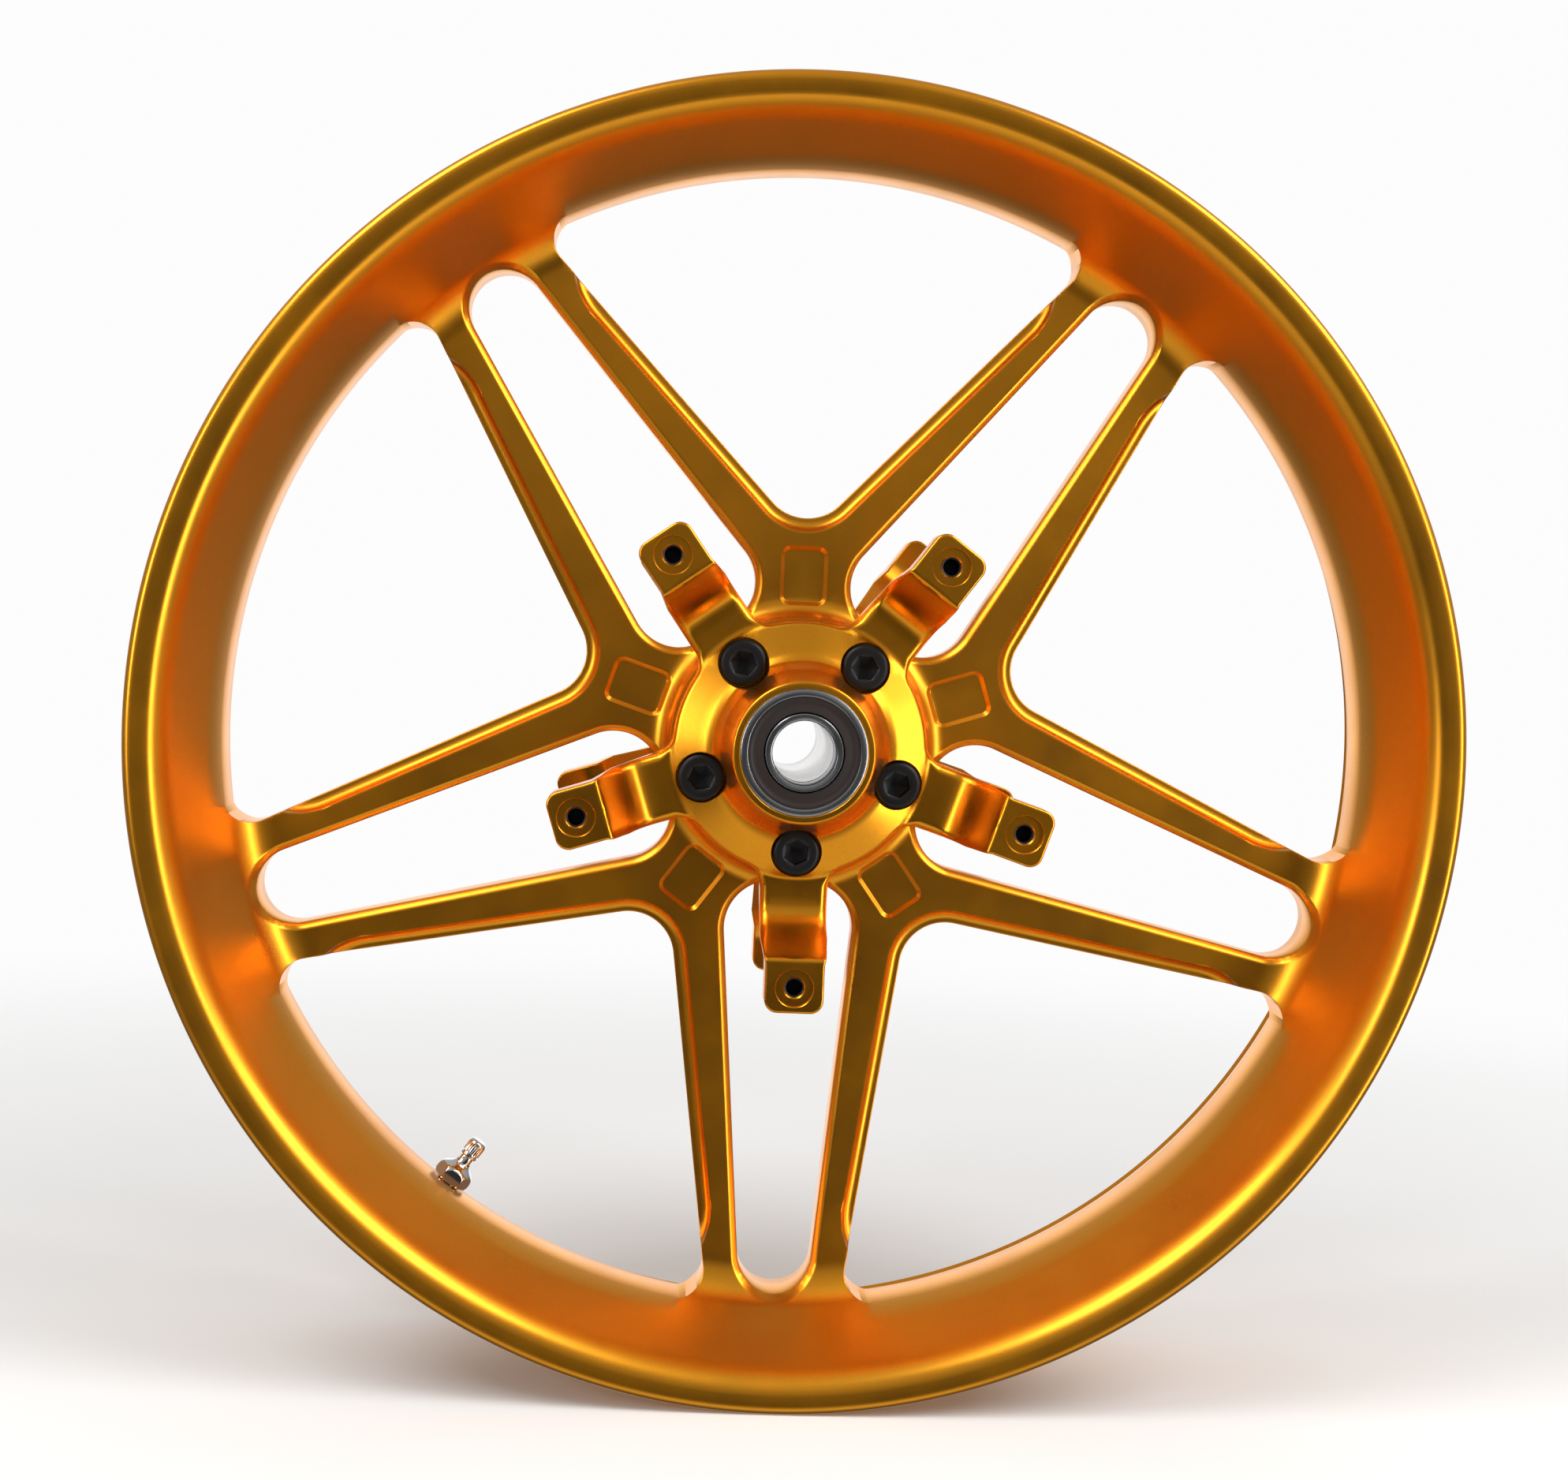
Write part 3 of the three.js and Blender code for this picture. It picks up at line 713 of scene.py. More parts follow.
def forging_sector():
    slot, slot_normals = (turn_plane(mirror_plane(part), HALF_PITCH) for part in SLOT_EDGE[:2])
    rim = circle_run(WELL_INNER, WINDOW["tangent"], HALF_PITCH, RIM_STEP)
    hub = circle_run(BOSS["joint"], 0, HALF_PITCH, RIM_STEP)
    boundary = np.concatenate([WINDOW_EDGE[0][:-1], rim, slot[::-1], hub[::-1]])
    runs = [window_contour(distance, True) for distance in LEDGE_LINES]
    runs += [window_contour(distance, False) for distance in WINDOW_LINES]
    runs += [slot + slot_normals * distance for distance in SLOT_LINES]
    runs += [recess_edge(grow) for grow in RECESS_LINES]
    runs += [circle_run(radius, 0, HALF_PITCH, RIM_STEP) for radius in FILLET_RINGS]
    runs += [circle_run(radius, 0, HALF_PITCH, 2 * RIM_STEP) for radius in BOSS_RINGS]
    flat, triangles = triangulate(boundary, runs)

    def open_edge(a, b):
        both = np.array([a, b])
        radius = radius_of(both)
        on_hub = (radius < BOSS["joint"] + 0.02).all()
        on_rim = (radius > WELL_INNER - 0.001).all() and (angle_of(both) > WINDOW["tangent"] - 1e-4).all()
        return on_mirror_line(both) or on_hub or on_rim

    return all_round(*sector_faces(flat, triangles, [(None, front_height, rear_height)], open_edge))


def window_angle(angles):
    """Angle from the nearest window axis."""
    return np.abs((np.asarray(angles) + HALF_PITCH) % PITCH - HALF_PITCH)


def rim_outline():
    """Front cone, flange, tyre side and rear cone, as (radius, height)."""
    shoulder = curve((215.6, 42.3), (219.4, 51.0), (223.6, 52.6), 10)
    flange = [tuple(p) for p in shoulder] + [
        (225.4, 52.95), (227.0, 53.15), (228.4, 53.3), (229.4, 53.3), (230.2, 53.1), (230.9, 52.65),
        (231.5, 52.0), (231.9, 51.2), (232.0, 50.2), (231.6, 49.0), (230.6, 47.9), (229.0, 47.0),
        (226.8, 46.4), (224.0, 45.9), (221.0, 45.4), (219.2, 44.7), (218.4, 43.4), (218.3, 42.0),
    ]
    front = [
        (217.3, 32.5), (217.6, 30.8), (217.2, 29.2), (216.2, 27.6), (209.4, 13.2), (208.7, 11.6),
        (208.4, 10.0),
    ]
    rear = [
        (208.4, -1.0), (208.7, -2.6), (209.4, -4.2), (216.2, -25.6), (217.2, -27.4), (217.6, -29.0),
        (217.3, -30.8),
    ]
    mirrored = [(r, -h) for r, h in reversed(flange)]
    cone = [(WELL_INNER + t * 11.4, WELL_DEPTH_FRONT + t * 24.17) for t in (0, 0.35, 0.7, 0.94)]
    return cone + flange + front + rear + mirrored


def rear_ring(radius):
    def ring(angles):
        away = window_angle(angles)
        heights = rear_plain(np.full(len(away), float(radius)), away)
        return np.full(len(away), float(radius)), heights
    return ring


def forging_lathes():
    rear_cone = [(216.5, -40.7), (213.4, -30.4)]
    foot = [rear_ring(r) for r in (210.0, 209.0, 208.0, 207.0, 206.1, 205.2, WELL_INNER)]
    outer = lathe_faces(rim_outline() + rear_cone + foot, RIM_STEP)
    wall = lathe_faces(
        [(WELL_INNER, WELL_DEPTH_FRONT), rear_ring(WELL_INNER)],
        RIM_STEP,
        keep=lambda angle: window_angle(angle) < WINDOW["tangent"],
    )
    h, f = BOSS["height"], SPIGOT["floor"]
    boss = [
        (BOSS["joint"], h - math.sqrt(BOSS["fillet"] ** 2 - 6.6**2)), (46.45, 13.4), (46.12, 14.6),
        (46.0, 15.7), (45.7, h), (SPIGOT["radius"], h), (SPIGOT["radius"], f), (HUB_BORE + 0.5, f),
        (HUB_BORE, f - 0.5),
    ]
    inner = lathe_faces(boss + [(r, -y) for r, y in reversed(boss)], RIM_STEP)
    return [outer, wall, inner]


def valve_cutter():
    """A closed mesh of the cylinders in VALVE_SEAT, used to cut the forging once."""
    work = bmesh.new()
    turn = Matrix.Rotation(math.radians(VALVE_ANGLE), 4, "Y")
    for distance, radius, depth in VALVE_SEAT:
        bmesh.ops.create_cone(
            work,
            cap_ends=True,
            segments=64,
            radius1=radius * MM,
            radius2=radius * MM,
            depth=depth * MM,
            matrix=turn @ Matrix.Translation((0, 0, distance * MM)),
        )
    return add_object("cutter", mesh_from(work, "cutter"))


def apply_boolean(piece, tool):
    """Cuts the tool out of the piece for good; the weighted normals stay as a modifier."""
    cut = piece.modifiers.new("cut", "BOOLEAN")
    cut.operation = "DIFFERENCE"
    cut.solver = "EXACT"
    cut.object = tool
    weighted = piece.modifiers["weighted_normals"]
    weighted.show_viewport = False
    bpy.context.view_layer.update()
    result = bpy.data.meshes.new_from_object(piece.evaluated_get(bpy.context.evaluated_depsgraph_get()))
    piece.modifiers.remove(cut)
    piece.data = result
    weighted.show_viewport = True
    bpy.data.objects.remove(tool)


def build_forging():
    piece = make_piece("forged_rim_and_spokes", [forging_sector(), *forging_lathes()], GOLD)
    apply_boolean(piece, valve_cutter())
    dress(piece, ["wheel_forging"], "wheel")


# ---------- the disc carriers ----------
def carrier_edge():
    """Right half of the carrier's outline around the arm axis, from the flange to the pad's end."""
    root = ARM["root_radius"]
    beside = ARM["half"] + root
    centre = np.array([beside, math.sqrt((FLANGE_RADIUS + root) ** 2 - beside**2)])
    touch = math.degrees(math.atan2(centre[1], centre[0]))
    flange = arc((0, 0), FLANGE_RADIUS, 90 - HALF_PITCH, touch, 2.0)
    fillet = hollow_arc(centre, root, touch - 180, -180, 5.0)
    corner = np.array([PAD["half"] - PAD["corner"], PAD["outer"] - PAD["corner"]])
    waist = PAD["inner"] + 0.6
    return chain(
        flange,
        fillet,
        straight((ARM["half"], centre[1]), (ARM["half_end"], ARM["end"])),
        straight((ARM["half_end"], ARM["end"]), (PAD["half"], waist)),
        straight((PAD["half"], waist), (PAD["half"], corner[1])),
        arc(corner, PAD["corner"], 0, 90, 6),
        straight((corner[0], PAD["outer"]), (0, PAD["outer"])),
    )


CARRIER_EDGE = carrier_edge()
COLLAR_PATH = rounded_path(
    [(22.4, 55), (24.6, 55), (28.3, 42.0), (31.0, 37.4), (33.6, 35.6), (45.0, 31.0), (60.0, 25.0)], 0.9
)
ARM_RISE = curve((54.5, 30.2), (64.0, 30.2), (69.2, 50.4), 12)
ARM_TOP = np.vstack([[(30, 30.2)], ARM_RISE, [(70.7, 55.2), (71.1, 55.75), (71.8, 56), (95, 56)]])
ARM_UNDER = rounded_path([(30, 16), (47, 16), (53, 19.5), (66, 34.5), (71, 39), (77, 41.5), (95, 42)], 2.0)
EDGE_ROUNDING = np.array([(46.0, 1.5), (50.0, 3.0), (64.0, 3.0), (70.0, 0.8)])


def nearest_on_edge(flat):
    """Distance of plane points from the carrier's outline, in the arm's frame."""
    points = CARRIER_EDGE[0]
    start, run = points[:-1], np.diff(points, axis=0)
    p = folded(flat)
    t = ((p[:, None] - start) * run).sum(2) / (run**2).sum(1)
    nearest = start + np.clip(t, 0, 1)[:, :, None] * run
    return np.hypot(*(p[:, None] - nearest).transpose(2, 0, 1)).min(1)


def carrier_top(flat):
    radius = radius_of(flat)
    dish = read_profile(COLLAR_PATH, radius)
    arm = read_profile(ARM_TOP, flat[:, 1])
    share = smoothstep((radius - ARM_BLEND["start"]) / ARM_BLEND["length"])
    edge = round_drop(nearest_on_edge(flat), read_profile(EDGE_ROUNDING, radius))
    pocket = radius_of(flat - (0, BOLT_CIRCLE)) - BOLT_POCKET["radius"]
    bore = radius_of(flat - (0, PAD["circle"])) - PAD_BORE["radius"]
    rims = chamfer_drop(pocket, BORE_CHAMFER) + chamfer_drop(bore, BORE_CHAMFER)
    return dish * (1 - share) + arm * share - edge - rims


def carrier_under(flat):
    return read_profile(ARM_UNDER, flat[:, 1]) + round_drop(nearest_on_edge(flat), UNDER_ROUND)


def bore_floor(flat):
    hole = radius_of(flat - (0, PAD["circle"])) - PAD_BORE["hole"]
    return PAD_BORE["floor"] - chamfer_drop(hole, HOLE_CHAMFER)


def level(height):
    """A height function that is the same everywhere."""
    return lambda flat: np.full(len(flat), height)


def circle_around(z, radius):
    """Right half of a circle on the arm axis."""
    return arc((0, z), radius, -90, 90, 6.0)[0]


def disc_polygon(z, radius):
    """A closed polygon with the corners of circle_around, on both sides of the axis."""
    angles = np.radians(np.arange(0, 360, 6.0))
    return np.stack([radius * np.cos(angles), z + radius * np.sin(angles)], 1)


def carrier_sector():
    """Built around the arm axis as +Z, then turned so that the arm lies half a pitch round."""
    edge, normals = CARRIER_EDGE
    inner = circle_run(COLLAR_JOINT, 0, HALF_PITCH, CARRIER_STEP)
    boundary = np.concatenate([edge, inner])
    runs = [edge - normals * distance for distance in CARRIER_LINES]
    runs += [circle_run(radius, 0, HALF_PITCH, CARRIER_STEP) for radius in COLLAR_RINGS]
    runs += [np.array([(x, along) for x in (0.0, 4.0, 8.0, 12.6)]) for along in ARM_LINES]
    for grow in BORE_LINES:
        runs.append(circle_around(BOLT_CIRCLE, BOLT_POCKET["radius"] + grow))
        runs.append(circle_around(PAD["circle"], PAD_BORE["radius"] + grow))
    runs.append(circle_around(BOLT_CIRCLE, BOLT_POCKET["hole"]))
    runs += [circle_around(PAD["circle"], PAD_BORE["hole"] + grow) for grow in HOLE_LINES]
    flat, triangles = triangulate(boundary, runs)
    regions = [
        (None, carrier_top, carrier_under),
        (disc_polygon(BOLT_CIRCLE, BOLT_POCKET["radius"]), level(BOLT_POCKET["floor"]), carrier_under),
        (disc_polygon(BOLT_CIRCLE, BOLT_POCKET["hole"]), None, None),
        (disc_polygon(PAD["circle"], PAD_BORE["radius"]), bore_floor, carrier_under),
        (disc_polygon(PAD["circle"], PAD_BORE["hole"]), level(PAD_BORE["bottom"]), carrier_under),
    ]

    def open_edge(a, b):
        both = np.array([a, b])
        return on_mirror_line(both) or (radius_of(both) < COLLAR_JOINT + 0.01).all()

    points, faces = sector_faces(flat, triangles, regions, open_edge)
    points, faces = all_round(points, faces)
    return np.column_stack([turn_plane(points[:, :2], HALF_PITCH), points[:, 2]]), faces


# The right side is the left one turned half round Z: the factors of (x, z, h).
SIDES = {"left": (1.0, 1.0, 1.0), "right": (-1.0, 1.0, -1.0)}


def placed_on(side, blocks):
    return [(points * np.array(SIDES[side]), faces) for points, faces in blocks]


def both_sides(blocks, name, body, nodes, slot, material):
    """Makes the left piece and its rear copy; a % in a name becomes left or right."""
    for side in SIDES:
        piece = make_piece(name.replace("%", side), placed_on(side, blocks), material)
        dress(piece, [node.replace("%", side) for node in nodes], body.replace("%", side))


def carrier_blocks():
    top = float(read_profile(COLLAR_PATH, COLLAR_JOINT))
    lip = [(r, h) for r, h in COLLAR_PATH[::-1] if r < COLLAR_JOINT - 0.02]
    seat = BEARING["face"] - BEARING["width"]
    inner = [
        (22.0, 54.6), (22.0, seat + 0.3), (21.7, seat), (17.4, seat), (17.0, seat - 0.4), (17.0, 12.7),
        (17.4, 12.3), (25.6, 12.3), (26.0, 12.7), (COLLAR_JOINT, BOSS["height"]),
    ]
    return [carrier_sector(), lathe_faces([(COLLAR_JOINT, top), *lip, *inner], CARRIER_STEP)]


def build_carriers():
    both_sides(carrier_blocks(), "%_carrier", "wheel", ["%_disc_carrier"], "gold_anodised", GOLD_CARRIER)


# ---------- bolts ----------
def hexagon(flats_half, angles):
    """Radius of a hexagon at each angle."""
    return flats_half / np.cos(np.radians((angles + 30) % 60 - 30))


def ribbed(radius, depth, count, height):
    """A ring with this many ribs, whose grooves are this deep."""
    return lambda a: (radius - depth * np.abs(np.sin(np.radians(a * count / 2))), np.full(len(a), height))


def capped(rings, step):
    """A lathe whose first and last rings close on the axis."""
    points, faces = lathe_faces(rings, step)
    count = round(360 / step)
    for base in (0, (len(rings) - 1) * count):
        points = np.vstack([points, points[base:base + count].mean(0)])
        hub = len(points) - 1
        faces.extend((base + i, base + (i + 1) % count, hub) for i in range(count))
    return points, faces


def bolt_blocks():
    step = 360 / (4 * BOLT["knurls"])
    top = BOLT["top"]

    def hex_ring(height, grow=0.0):
        return lambda a: (hexagon(BOLT["hex"] + grow, a), np.full(len(a), height))

    def knurled(height, depth):
        return ribbed(BOLT["head"], depth, BOLT["knurls"], height)

    rings = [
        (0.6, BOLT["hex_floor"] - 1.0),
        hex_ring(BOLT["hex_floor"], -0.05),
        hex_ring(BOLT["hex_floor"] + 0.2),
        hex_ring(top - 0.45),
        (4.95, top - 0.05),
        (5.15, top),
        (6.85, top),
        (7.25, top - 0.08),
        (7.7, top - 0.35),
        knurled(top - 0.85, 0.05),
        knurled(top - 1.2, 0.28),
        knurled(26.2, 0.28),
        (BOLT["head"] - 0.1, 25.4),
        (BOLT["head"] - 0.5, 25.0),
        (BOLT["shank"] + 0.2, 25.0),
        (BOLT["shank"], 24.7),
        (BOLT["shank"], BOLT["tip"] + 0.8),
        (BOLT["shank"] - 0.8, BOLT["tip"]),
    ]
    return capped(rings, step)


def thread_blocks():
    """The dark thread in each pad hole: a ring of grooves and a floor."""
    hole, bottom = PAD_BORE["hole"], PAD_BORE["bottom"]
    heights = np.arange(bottom + 0.4, PAD_BORE["floor"] - 0.9, 0.625)
    grooves = [(hole - (0.08 if i % 2 else 0.5), h) for i, h in enumerate(heights)]
    rings = [
        (0.5, bottom + 0.3), (hole - 0.3, bottom + 0.3), *grooves, (hole - 0.04, PAD_BORE["floor"] - 0.75),
        (hole - 0.02, PAD_BORE["floor"] - 0.9), (hole - 0.02, bottom + 0.1), (0.5, bottom + 0.1),
    ]
    points, faces = capped(rings, 5.0)
    blocks = []
    for i in range(PAIRS):
        angle = math.radians(HALF_PITCH + i * PITCH)
        blocks.append((points + PAD["circle"] * np.array([math.sin(angle), math.cos(angle), 0]), faces))
    return blocks


def build_threads():
    for side in SIDES:
        piece = make_piece(f"{side}_pad_threads", placed_on(side, thread_blocks()), BLACK_OXIDE, 30)
        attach(piece, "wheel")


def build_bolts():
    points, faces = bolt_blocks()
    for side in SIDES:
        for i in range(PAIRS):
            angle = math.radians(HALF_PITCH + i * PITCH)
            centre = BOLT_CIRCLE * np.array([math.sin(angle), math.cos(angle)])
            placed = np.column_stack([turn_plane(points[:, :2], BOLT_SPIN * i) + centre, points[:, 2]])
            node = f"{side}_carrier_bolt_{i + 1}"
            piece = make_piece(f"{node}_body", placed_on(side, [(placed, faces)]), BLACK_OXIDE, 30)
            dress(piece, [node], "wheel")


# ---------- bearings and spacer ----------
def closed_lathe(profile, step=1.5):
    return [lathe_faces([*profile, profile[0]], step)]


def groove(sign, reach):
    """Ball groove in the outer (+1) or inner (-1) ring, up to this angle from its deepest point."""
    middle = BEARING["face"] - BEARING["width"] / 2
    return [
        (BALL["circle"] + sign * BALL["groove"] * math.cos(a), middle + BALL["groove"] * math.sin(a))
        for a in np.radians(np.linspace(-reach, reach, 7))
    ]


def outer_ring():
    face, rear = BEARING["face"], BEARING["face"] - BEARING["width"]
    middle = (face + rear) / 2
    outer, land = BEARING["outer"], BEARING["outer_land"]
    return closed_lathe([
        (land, rear + 0.3), (land + 0.3, rear), (outer - 0.5, rear), (outer, rear + 0.5),
        (outer, face - 0.55), (outer - 0.12, face - 0.2), (outer - 0.5, face), (land + 0.35, face),
        (land + 0.1, face - 0.1), (land, face - 0.35), (land, middle + 1.5), *groove(1, 24)[::-1],
        (land, middle - 1.5),
    ])


def inner_ring():
    face, rear = BEARING["face"], BEARING["face"] - BEARING["width"]
    middle = (face + rear) / 2
    bore, land = BEARING["bore"], BEARING["inner_land"]
    return closed_lathe([
        (bore, rear + 0.6), (bore + 0.6, rear), (land - 0.3, rear), (land, rear + 0.3), (land, middle - 1.3),
        *groove(-1, 20), (land, middle + 1.3), (land, face - 0.3), (land - 0.3, face), (bore + 0.75, face),
        (bore + 0.3, face - 0.2), (bore, face - 0.8),
    ])


def seal_disc(front):
    """A moulded seal: thick rim, thin web with two shallow steps and a lip on the inner ring."""
    return closed_lathe([
        (19.4, front - 0.8), (19.4, front - 0.15), (19.2, front), (18.5, front), (18.2, front - 0.1),
        (17.9, front - 0.3), (16.4, front - 0.3), (16.1, front - 0.2), (14.9, front - 0.2),
        (14.6, front - 0.1), (14.1, front - 0.1), (13.95, front - 0.25), (13.95, front - 0.8),
    ])


def build_bearings():
    front = BEARING["face"] - 0.4
    back = BEARING["face"] - BEARING["width"] + 1.2
    balls = [f"%_bearing_ball_{i + 1}" for i in range(BALL["count"])]
    rows = [
        (outer_ring(), "%_outer_race", "wheel", ["%_bearing_outer_ring"], "bearing_steel", STEEL),
        (inner_ring(), "%_inner_race", "axle_sleeve", ["%_bearing_inner_ring"], "bearing_steel", STEEL),
        (seal_disc(front), "%_outer_seal", "wheel", ["%_bearing_outer_seal"], "seal_rubber", SEAL),
        (seal_disc(back), "%_inner_seal", "wheel", ["%_bearing_inner_seal"], "seal_rubber", SEAL),
        (ball_set(), "%_balls", "%_ball_cage", balls, "bearing_steel", BALL_STEEL),
    ]
    for row in rows:
        both_sides(*row)


def ball_set():
    middle = BEARING["face"] - BEARING["width"] / 2
    angles = np.radians(np.linspace(-82, 82, 12))
    rings = [(BALL["radius"] * math.cos(a), middle + BALL["radius"] * math.sin(a)) for a in angles]
    points, faces = capped(rings, 15.0)
    poles = np.where(np.hypot(points[:, 0], points[:, 1]) < 1e-6)[0]
    points[poles, 2] = [middle - BALL["radius"], middle + BALL["radius"]]
    blocks = []
    for i in range(BALL["count"]):
        angle = math.radians(i * 360 / BALL["count"])
        offset = np.array([BALL["circle"] * math.sin(angle), BALL["circle"] * math.cos(angle), 0])
        blocks.append((points + offset, faces))
    return blocks


def build_spacer():
    b, o, half = SPACER["bore"], SPACER["outer"], SPACER["half"]
    profile = [
        (b, -half + 0.5), (b + 0.5, -half), (o - 0.5, -half), (o, -half + 0.5), (o, half - 0.5),
        (o - 0.5, half), (b + 0.5, half), (b, half - 0.5),
    ]
    piece = make_piece("axle_spacer_tube", closed_lathe(profile), TURNED_ALUMINIUM)
    dress(piece, ["axle_spacer"], "axle_sleeve")


# ---------- valve: the heights in these profiles are distances from the axle ----------
def along_valve(blocks):
    """Moves lathe blocks from the axle's line to the valve's line."""
    angle = math.radians(VALVE_ANGLE)
    s, c = math.sin(angle), math.cos(angle)
    moved = []
    for points, faces in blocks:
        a, b, t = points[:, 0], points[:, 1], points[:, 2]
        moved.append((np.stack([s * t + c * a, c * t - s * a, b], 1), faces))
    return moved


def threaded(radius, start, stop, pitch=1.058, depth=0.25):
    """Ring profile of a fine thread, drawn as grooves."""
    profile, t = [], start
    while t + pitch < stop:
        profile += [(radius, t), (radius, t + 0.3 * pitch), (radius - depth, t + 0.65 * pitch)]
        t += pitch
    return [*profile, (radius, stop)]


def nut_profile():
    """Bell nut: a concave neck that swells over the corners of a hexagon."""
    neck = [(2.8, 195.5), (3.0, 196.0), (3.35, 196.5), (3.9, 197.0), (4.6, 197.5), (5.3, 198.0)]
    shoulder = [(5.85, 198.5), (6.2, 198.9), (6.45, 199.3), (6.7, 199.8), (6.88, 200.4), (6.95, 201.2)]
    body = [(6.95, 202.9), (6.6, 203.3), (6.6, 203.7)]

    def ring(radius, distance):
        return lambda a: (np.minimum(radius, hexagon(6.0, a)), np.full(len(a), distance))

    outside = [ring(r, t) for r, t in neck + shoulder + body]
    return [*outside, (4.15, 203.7), (4.15, 198.2), (2.8, 197.2), ring(*neck[0])]


def build_valve():
    stem = [
        (1.6, 188.4), (2.2, 188.4), *threaded(2.5, 188.8, 193.2), (2.5, 197.0), (3.8, 197.8), (3.85, 209.2),
        (7.4, 209.2), (8.0, 209.8), (7.6, 210.8), (7.0, 211.0), (1.6, 211.0), (1.6, 188.4),
    ]
    washer = [
        (4.15, 207.6), (7.7, 207.6), (8.0, 207.9), (8.0, 208.9), (7.7, 209.2), (4.15, 209.2), (4.15, 207.6),
    ]
    core = [
        (0.75, 190.2), (1.3, 190.2), *threaded(1.58, 190.5, 196.6, 0.7, 0.15), (1.3, 197.0), (0.75, 197.0),
        (0.75, 190.2),
    ]
    pin = [(0.28, 189.2), (0.45, 189.35), (0.45, 197.7), (0.3, 198.0)]
    cap = [
        (0.3, 185.7), (1.6, 185.72), (2.4, 185.85), (2.9, 186.15), (3.2, 186.6), (3.3, 187.1),
        ribbed(3.3, 0.12, 30, 187.3), ribbed(3.3, 0.12, 30, 190.9), (3.3, 191.1), (3.02, 191.35),
        (3.02, 191.65), (3.3, 191.9), (3.3, 192.4), (3.2, 192.6), (2.95, 192.6), (2.85, 192.3),
        (2.85, 187.3), (0.3, 187.3),
    ]
    seal = [(1.1, 187.6), (2.4, 187.6), (2.5, 187.75), (2.4, 188.1), (1.1, 188.1), (1.1, 187.6)]
    rows = [
        ("valve_stem_body", [lathe_faces(stem, 7.5)], CHROME, "valve_stem", "chrome_plate", "wheel"),
        ("valve_grommet", [lathe_faces(washer, 7.5)], RUBBER, "valve_washer", "black_rubber", "wheel"),
        ("valve_bell_nut", [lathe_faces(nut_profile(), 3.0)], CHROME, "valve_nut", "chrome_plate", "wheel"),
        ("valve_core_body", [lathe_faces(core, 15.0)], BRASS, "valve_core", "brass", "wheel"),
        ("valve_core_pin", [capped(pin, 15.0)], BRASS, "valve_pin", "brass", "pin"),
        ("valve_screw_cap", [capped(cap, 3.0)], CHROME, "valve_cap", "chrome_plate", "cap"),
        ("valve_cap_gasket", [lathe_faces(seal, 7.5)], RUBBER, "valve_cap_seal", "black_rubber", "cap_seal"),
    ]
    for name, blocks, material, node, slot, body in rows:
        piece = make_piece(name, along_valve(blocks), material, 30)
        dress(piece, [node], body)


# ---------- studio ----------
def build_floor():
    """A pale floor that glows evenly far from the wheel, so it meets the backdrop without a horizon."""
    material, tree, shader = new_material("studio_floor")
    tint = object_noise(tree, 6, 3)
    tree.feed(shader, {
        "Base Color": blend_colours(tree, tint, (0.86, 0.86, 0.86), (0.9, 0.9, 0.9)),
        "Roughness": 0.8,
        "Specular IOR Level": 0.0,
    })
    place = tree.add("TexCoord", output="Object")
    distance = tree.add("VectorMath", {0: place}, "Value", operation="LENGTH")
    far = spread(tree, distance, 0, 1, 0.25, 1.1, "SMOOTHSTEP")
    glow = tree.add("Emission", {"Color": BACKDROP})
    mix = tree.add("MixShader", {"Fac": far, 1: shader.outputs[0], 2: glow})
    tree.feed(tree.nodes["Material Output"], {"Surface": mix})
    work = bmesh.new()
    bmesh.ops.create_grid(work, x_segments=8, y_segments=8, size=3.0)
    mesh = mesh_from(work, "studio_floor")
    mesh.materials.append(material)
    floor = add_object("studio_floor", mesh)
    floor.location = (0, 0, cad_box[0][2])
    floor.visible_glossy = False
    floor.visible_shadow = False


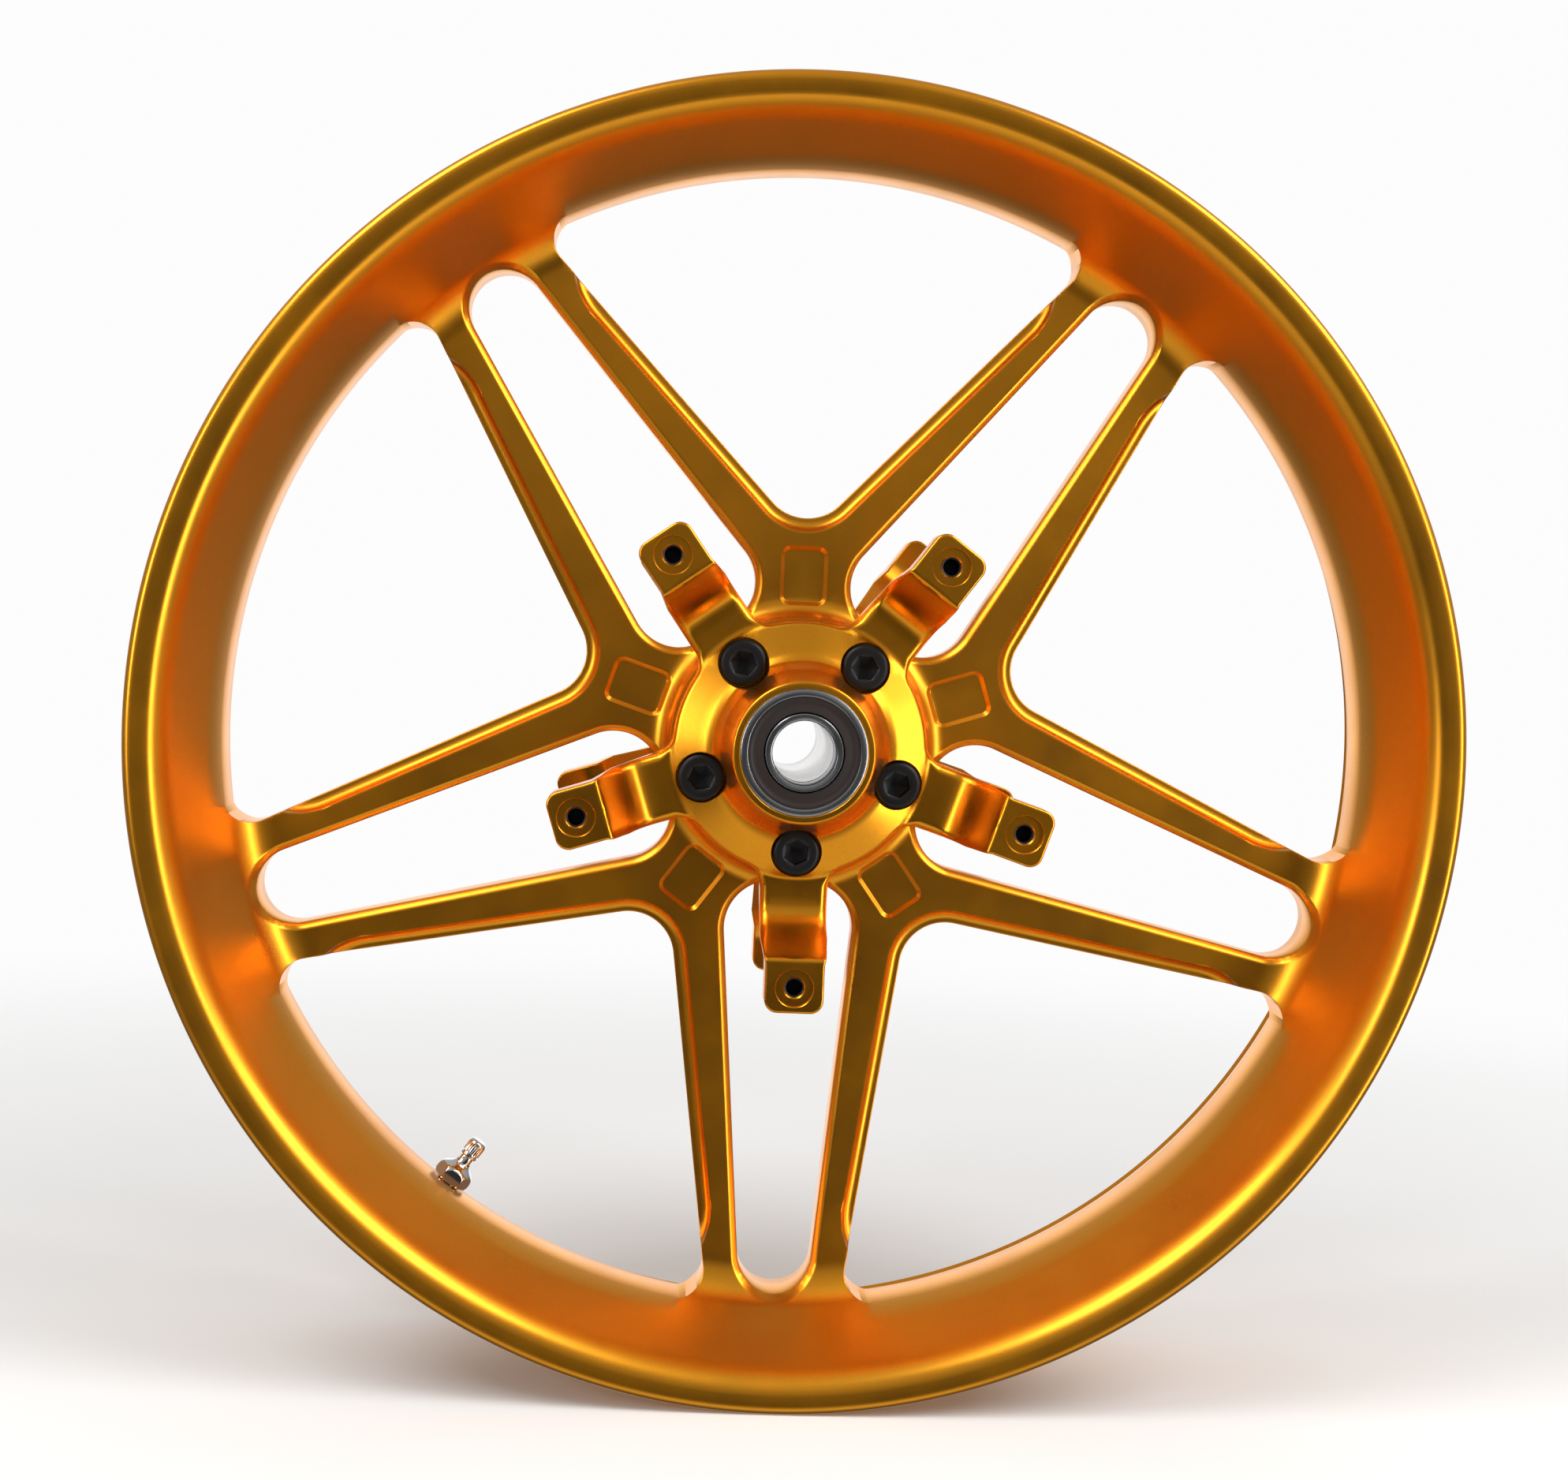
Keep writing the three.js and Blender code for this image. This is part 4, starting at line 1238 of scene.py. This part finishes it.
def build_world():
    """A light tent that is dark on the viewer's side, so faces square to the viewer stay deep.

    Seen directly, the world is an even pale backdrop.
    """
    world = bpy.data.worlds.new("studio")
    world.use_nodes = True
    bpy.context.scene.world = world
    tree = NodeTree(world.node_tree)
    tree.nodes.clear()
    direction = tree.add("SeparateXYZ", {0: tree.add("TexCoord", output="Generated")}).node.outputs

    def ramp(axis, low, high, start, stop):
        return spread(tree, direction[axis], low, high, start, stop, "SMOOTHSTEP")

    front = ramp("Z", TENT["front_low"], TENT["front_high"], -0.15, 0.35)
    bounce = ramp("Z", TENT["floor"], 0.0, -0.62, -0.34)
    viewer_side = tree.add("Math", {0: front, 1: bounce}, operation="ADD")
    back = ramp("Z", TENT["back_low"], TENT["back_high"], -0.9, 0.9)
    back = tree.add("Mix", {0: ramp("Y", 0, 1, 0.75, 0.9), 2: back, 3: TENT["behind"]})
    level = tree.add("Mix", {0: ramp("Y", 0, 1, -0.75, 0.1), 2: viewer_side, 3: back})
    lit = tree.add("Background", {"Color": (1.0, 0.99, 0.97, 1), "Strength": level})
    seen = tree.add("Background", {"Color": BACKDROP})
    by_camera = tree.add("LightPath", output="Is Camera Ray")
    mix = tree.add("MixShader", {"Fac": by_camera, 1: lit, 2: seen})
    tree.feed(tree.nodes.new("ShaderNodeOutputWorld"), {"Surface": mix})


def softbox(name, azimuth, elevation, size, energy):
    """A soft box aimed at the hub; azimuth 0 is the viewer's side and 90 is to the right."""
    a, e = math.radians(azimuth), math.radians(elevation)
    place = SOFTBOX_DISTANCE * Vector((math.sin(a) * math.cos(e), -math.cos(a) * math.cos(e), math.sin(e)))
    light = bpy.data.lights.new(name, "AREA")
    light.shape = "RECTANGLE"
    light.size, light.size_y = size
    light.energy = energy
    lamp = add_object(name, light)
    lamp.location = place
    lamp.rotation_euler = (-place).to_track_quat("-Z", "Y").to_euler()


def build_lights():
    softbox("high_left", -54, 48, (0.7, 0.7), 10)
    softbox("high_right", 60, 38, (0.8, 0.8), 13)
    softbox("mid_left", -50, 10, (0.35, 0.7), 5)
    softbox("mid_right", 50, -6, (0.35, 1.3), 9)


def build_camera():
    """The viewpoint: where the lens stands, and how the body is turned, tilted and rolled."""
    turn, roll, tilt = (math.radians(CAMERA[name]) for name in ("turn", "roll", "tilt"))
    to_view = Matrix.Rotation(turn, 3, "Z") @ Matrix.Rotation(roll, 3, "Y") @ Matrix.Rotation(tilt, 3, "X")
    right, forward, up = to_view[0], to_view[1], to_view[2]
    pose = Matrix((right, up, -forward)).transposed().to_4x4()
    pose.translation = Vector(CAMERA["place"]) * MM
    camera = bpy.data.cameras.new("camera")
    camera.sensor_fit = "HORIZONTAL"
    camera.sensor_width = 36.0
    camera.lens = CAMERA["lens"]
    camera.clip_start = 0.01
    eye = add_object("camera", camera)
    eye.matrix_world = pose
    bpy.context.scene.camera = eye


def dress_cad_nodes():
    """The cages stay as CAD parts and get a moulded finish."""
    for side in SIDES:
        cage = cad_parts[f"{side}_bearing_cage"]
        cage.data.materials.clear()
        cage.data.materials.append(CAGE)


build_camera()
build_world()
build_lights()
build_floor()
build_forging()
build_carriers()
build_bolts()
build_threads()
build_bearings()
build_spacer()
build_valve()
dress_cad_nodes()
bpy.context.scene.view_settings.view_transform = "Standard"
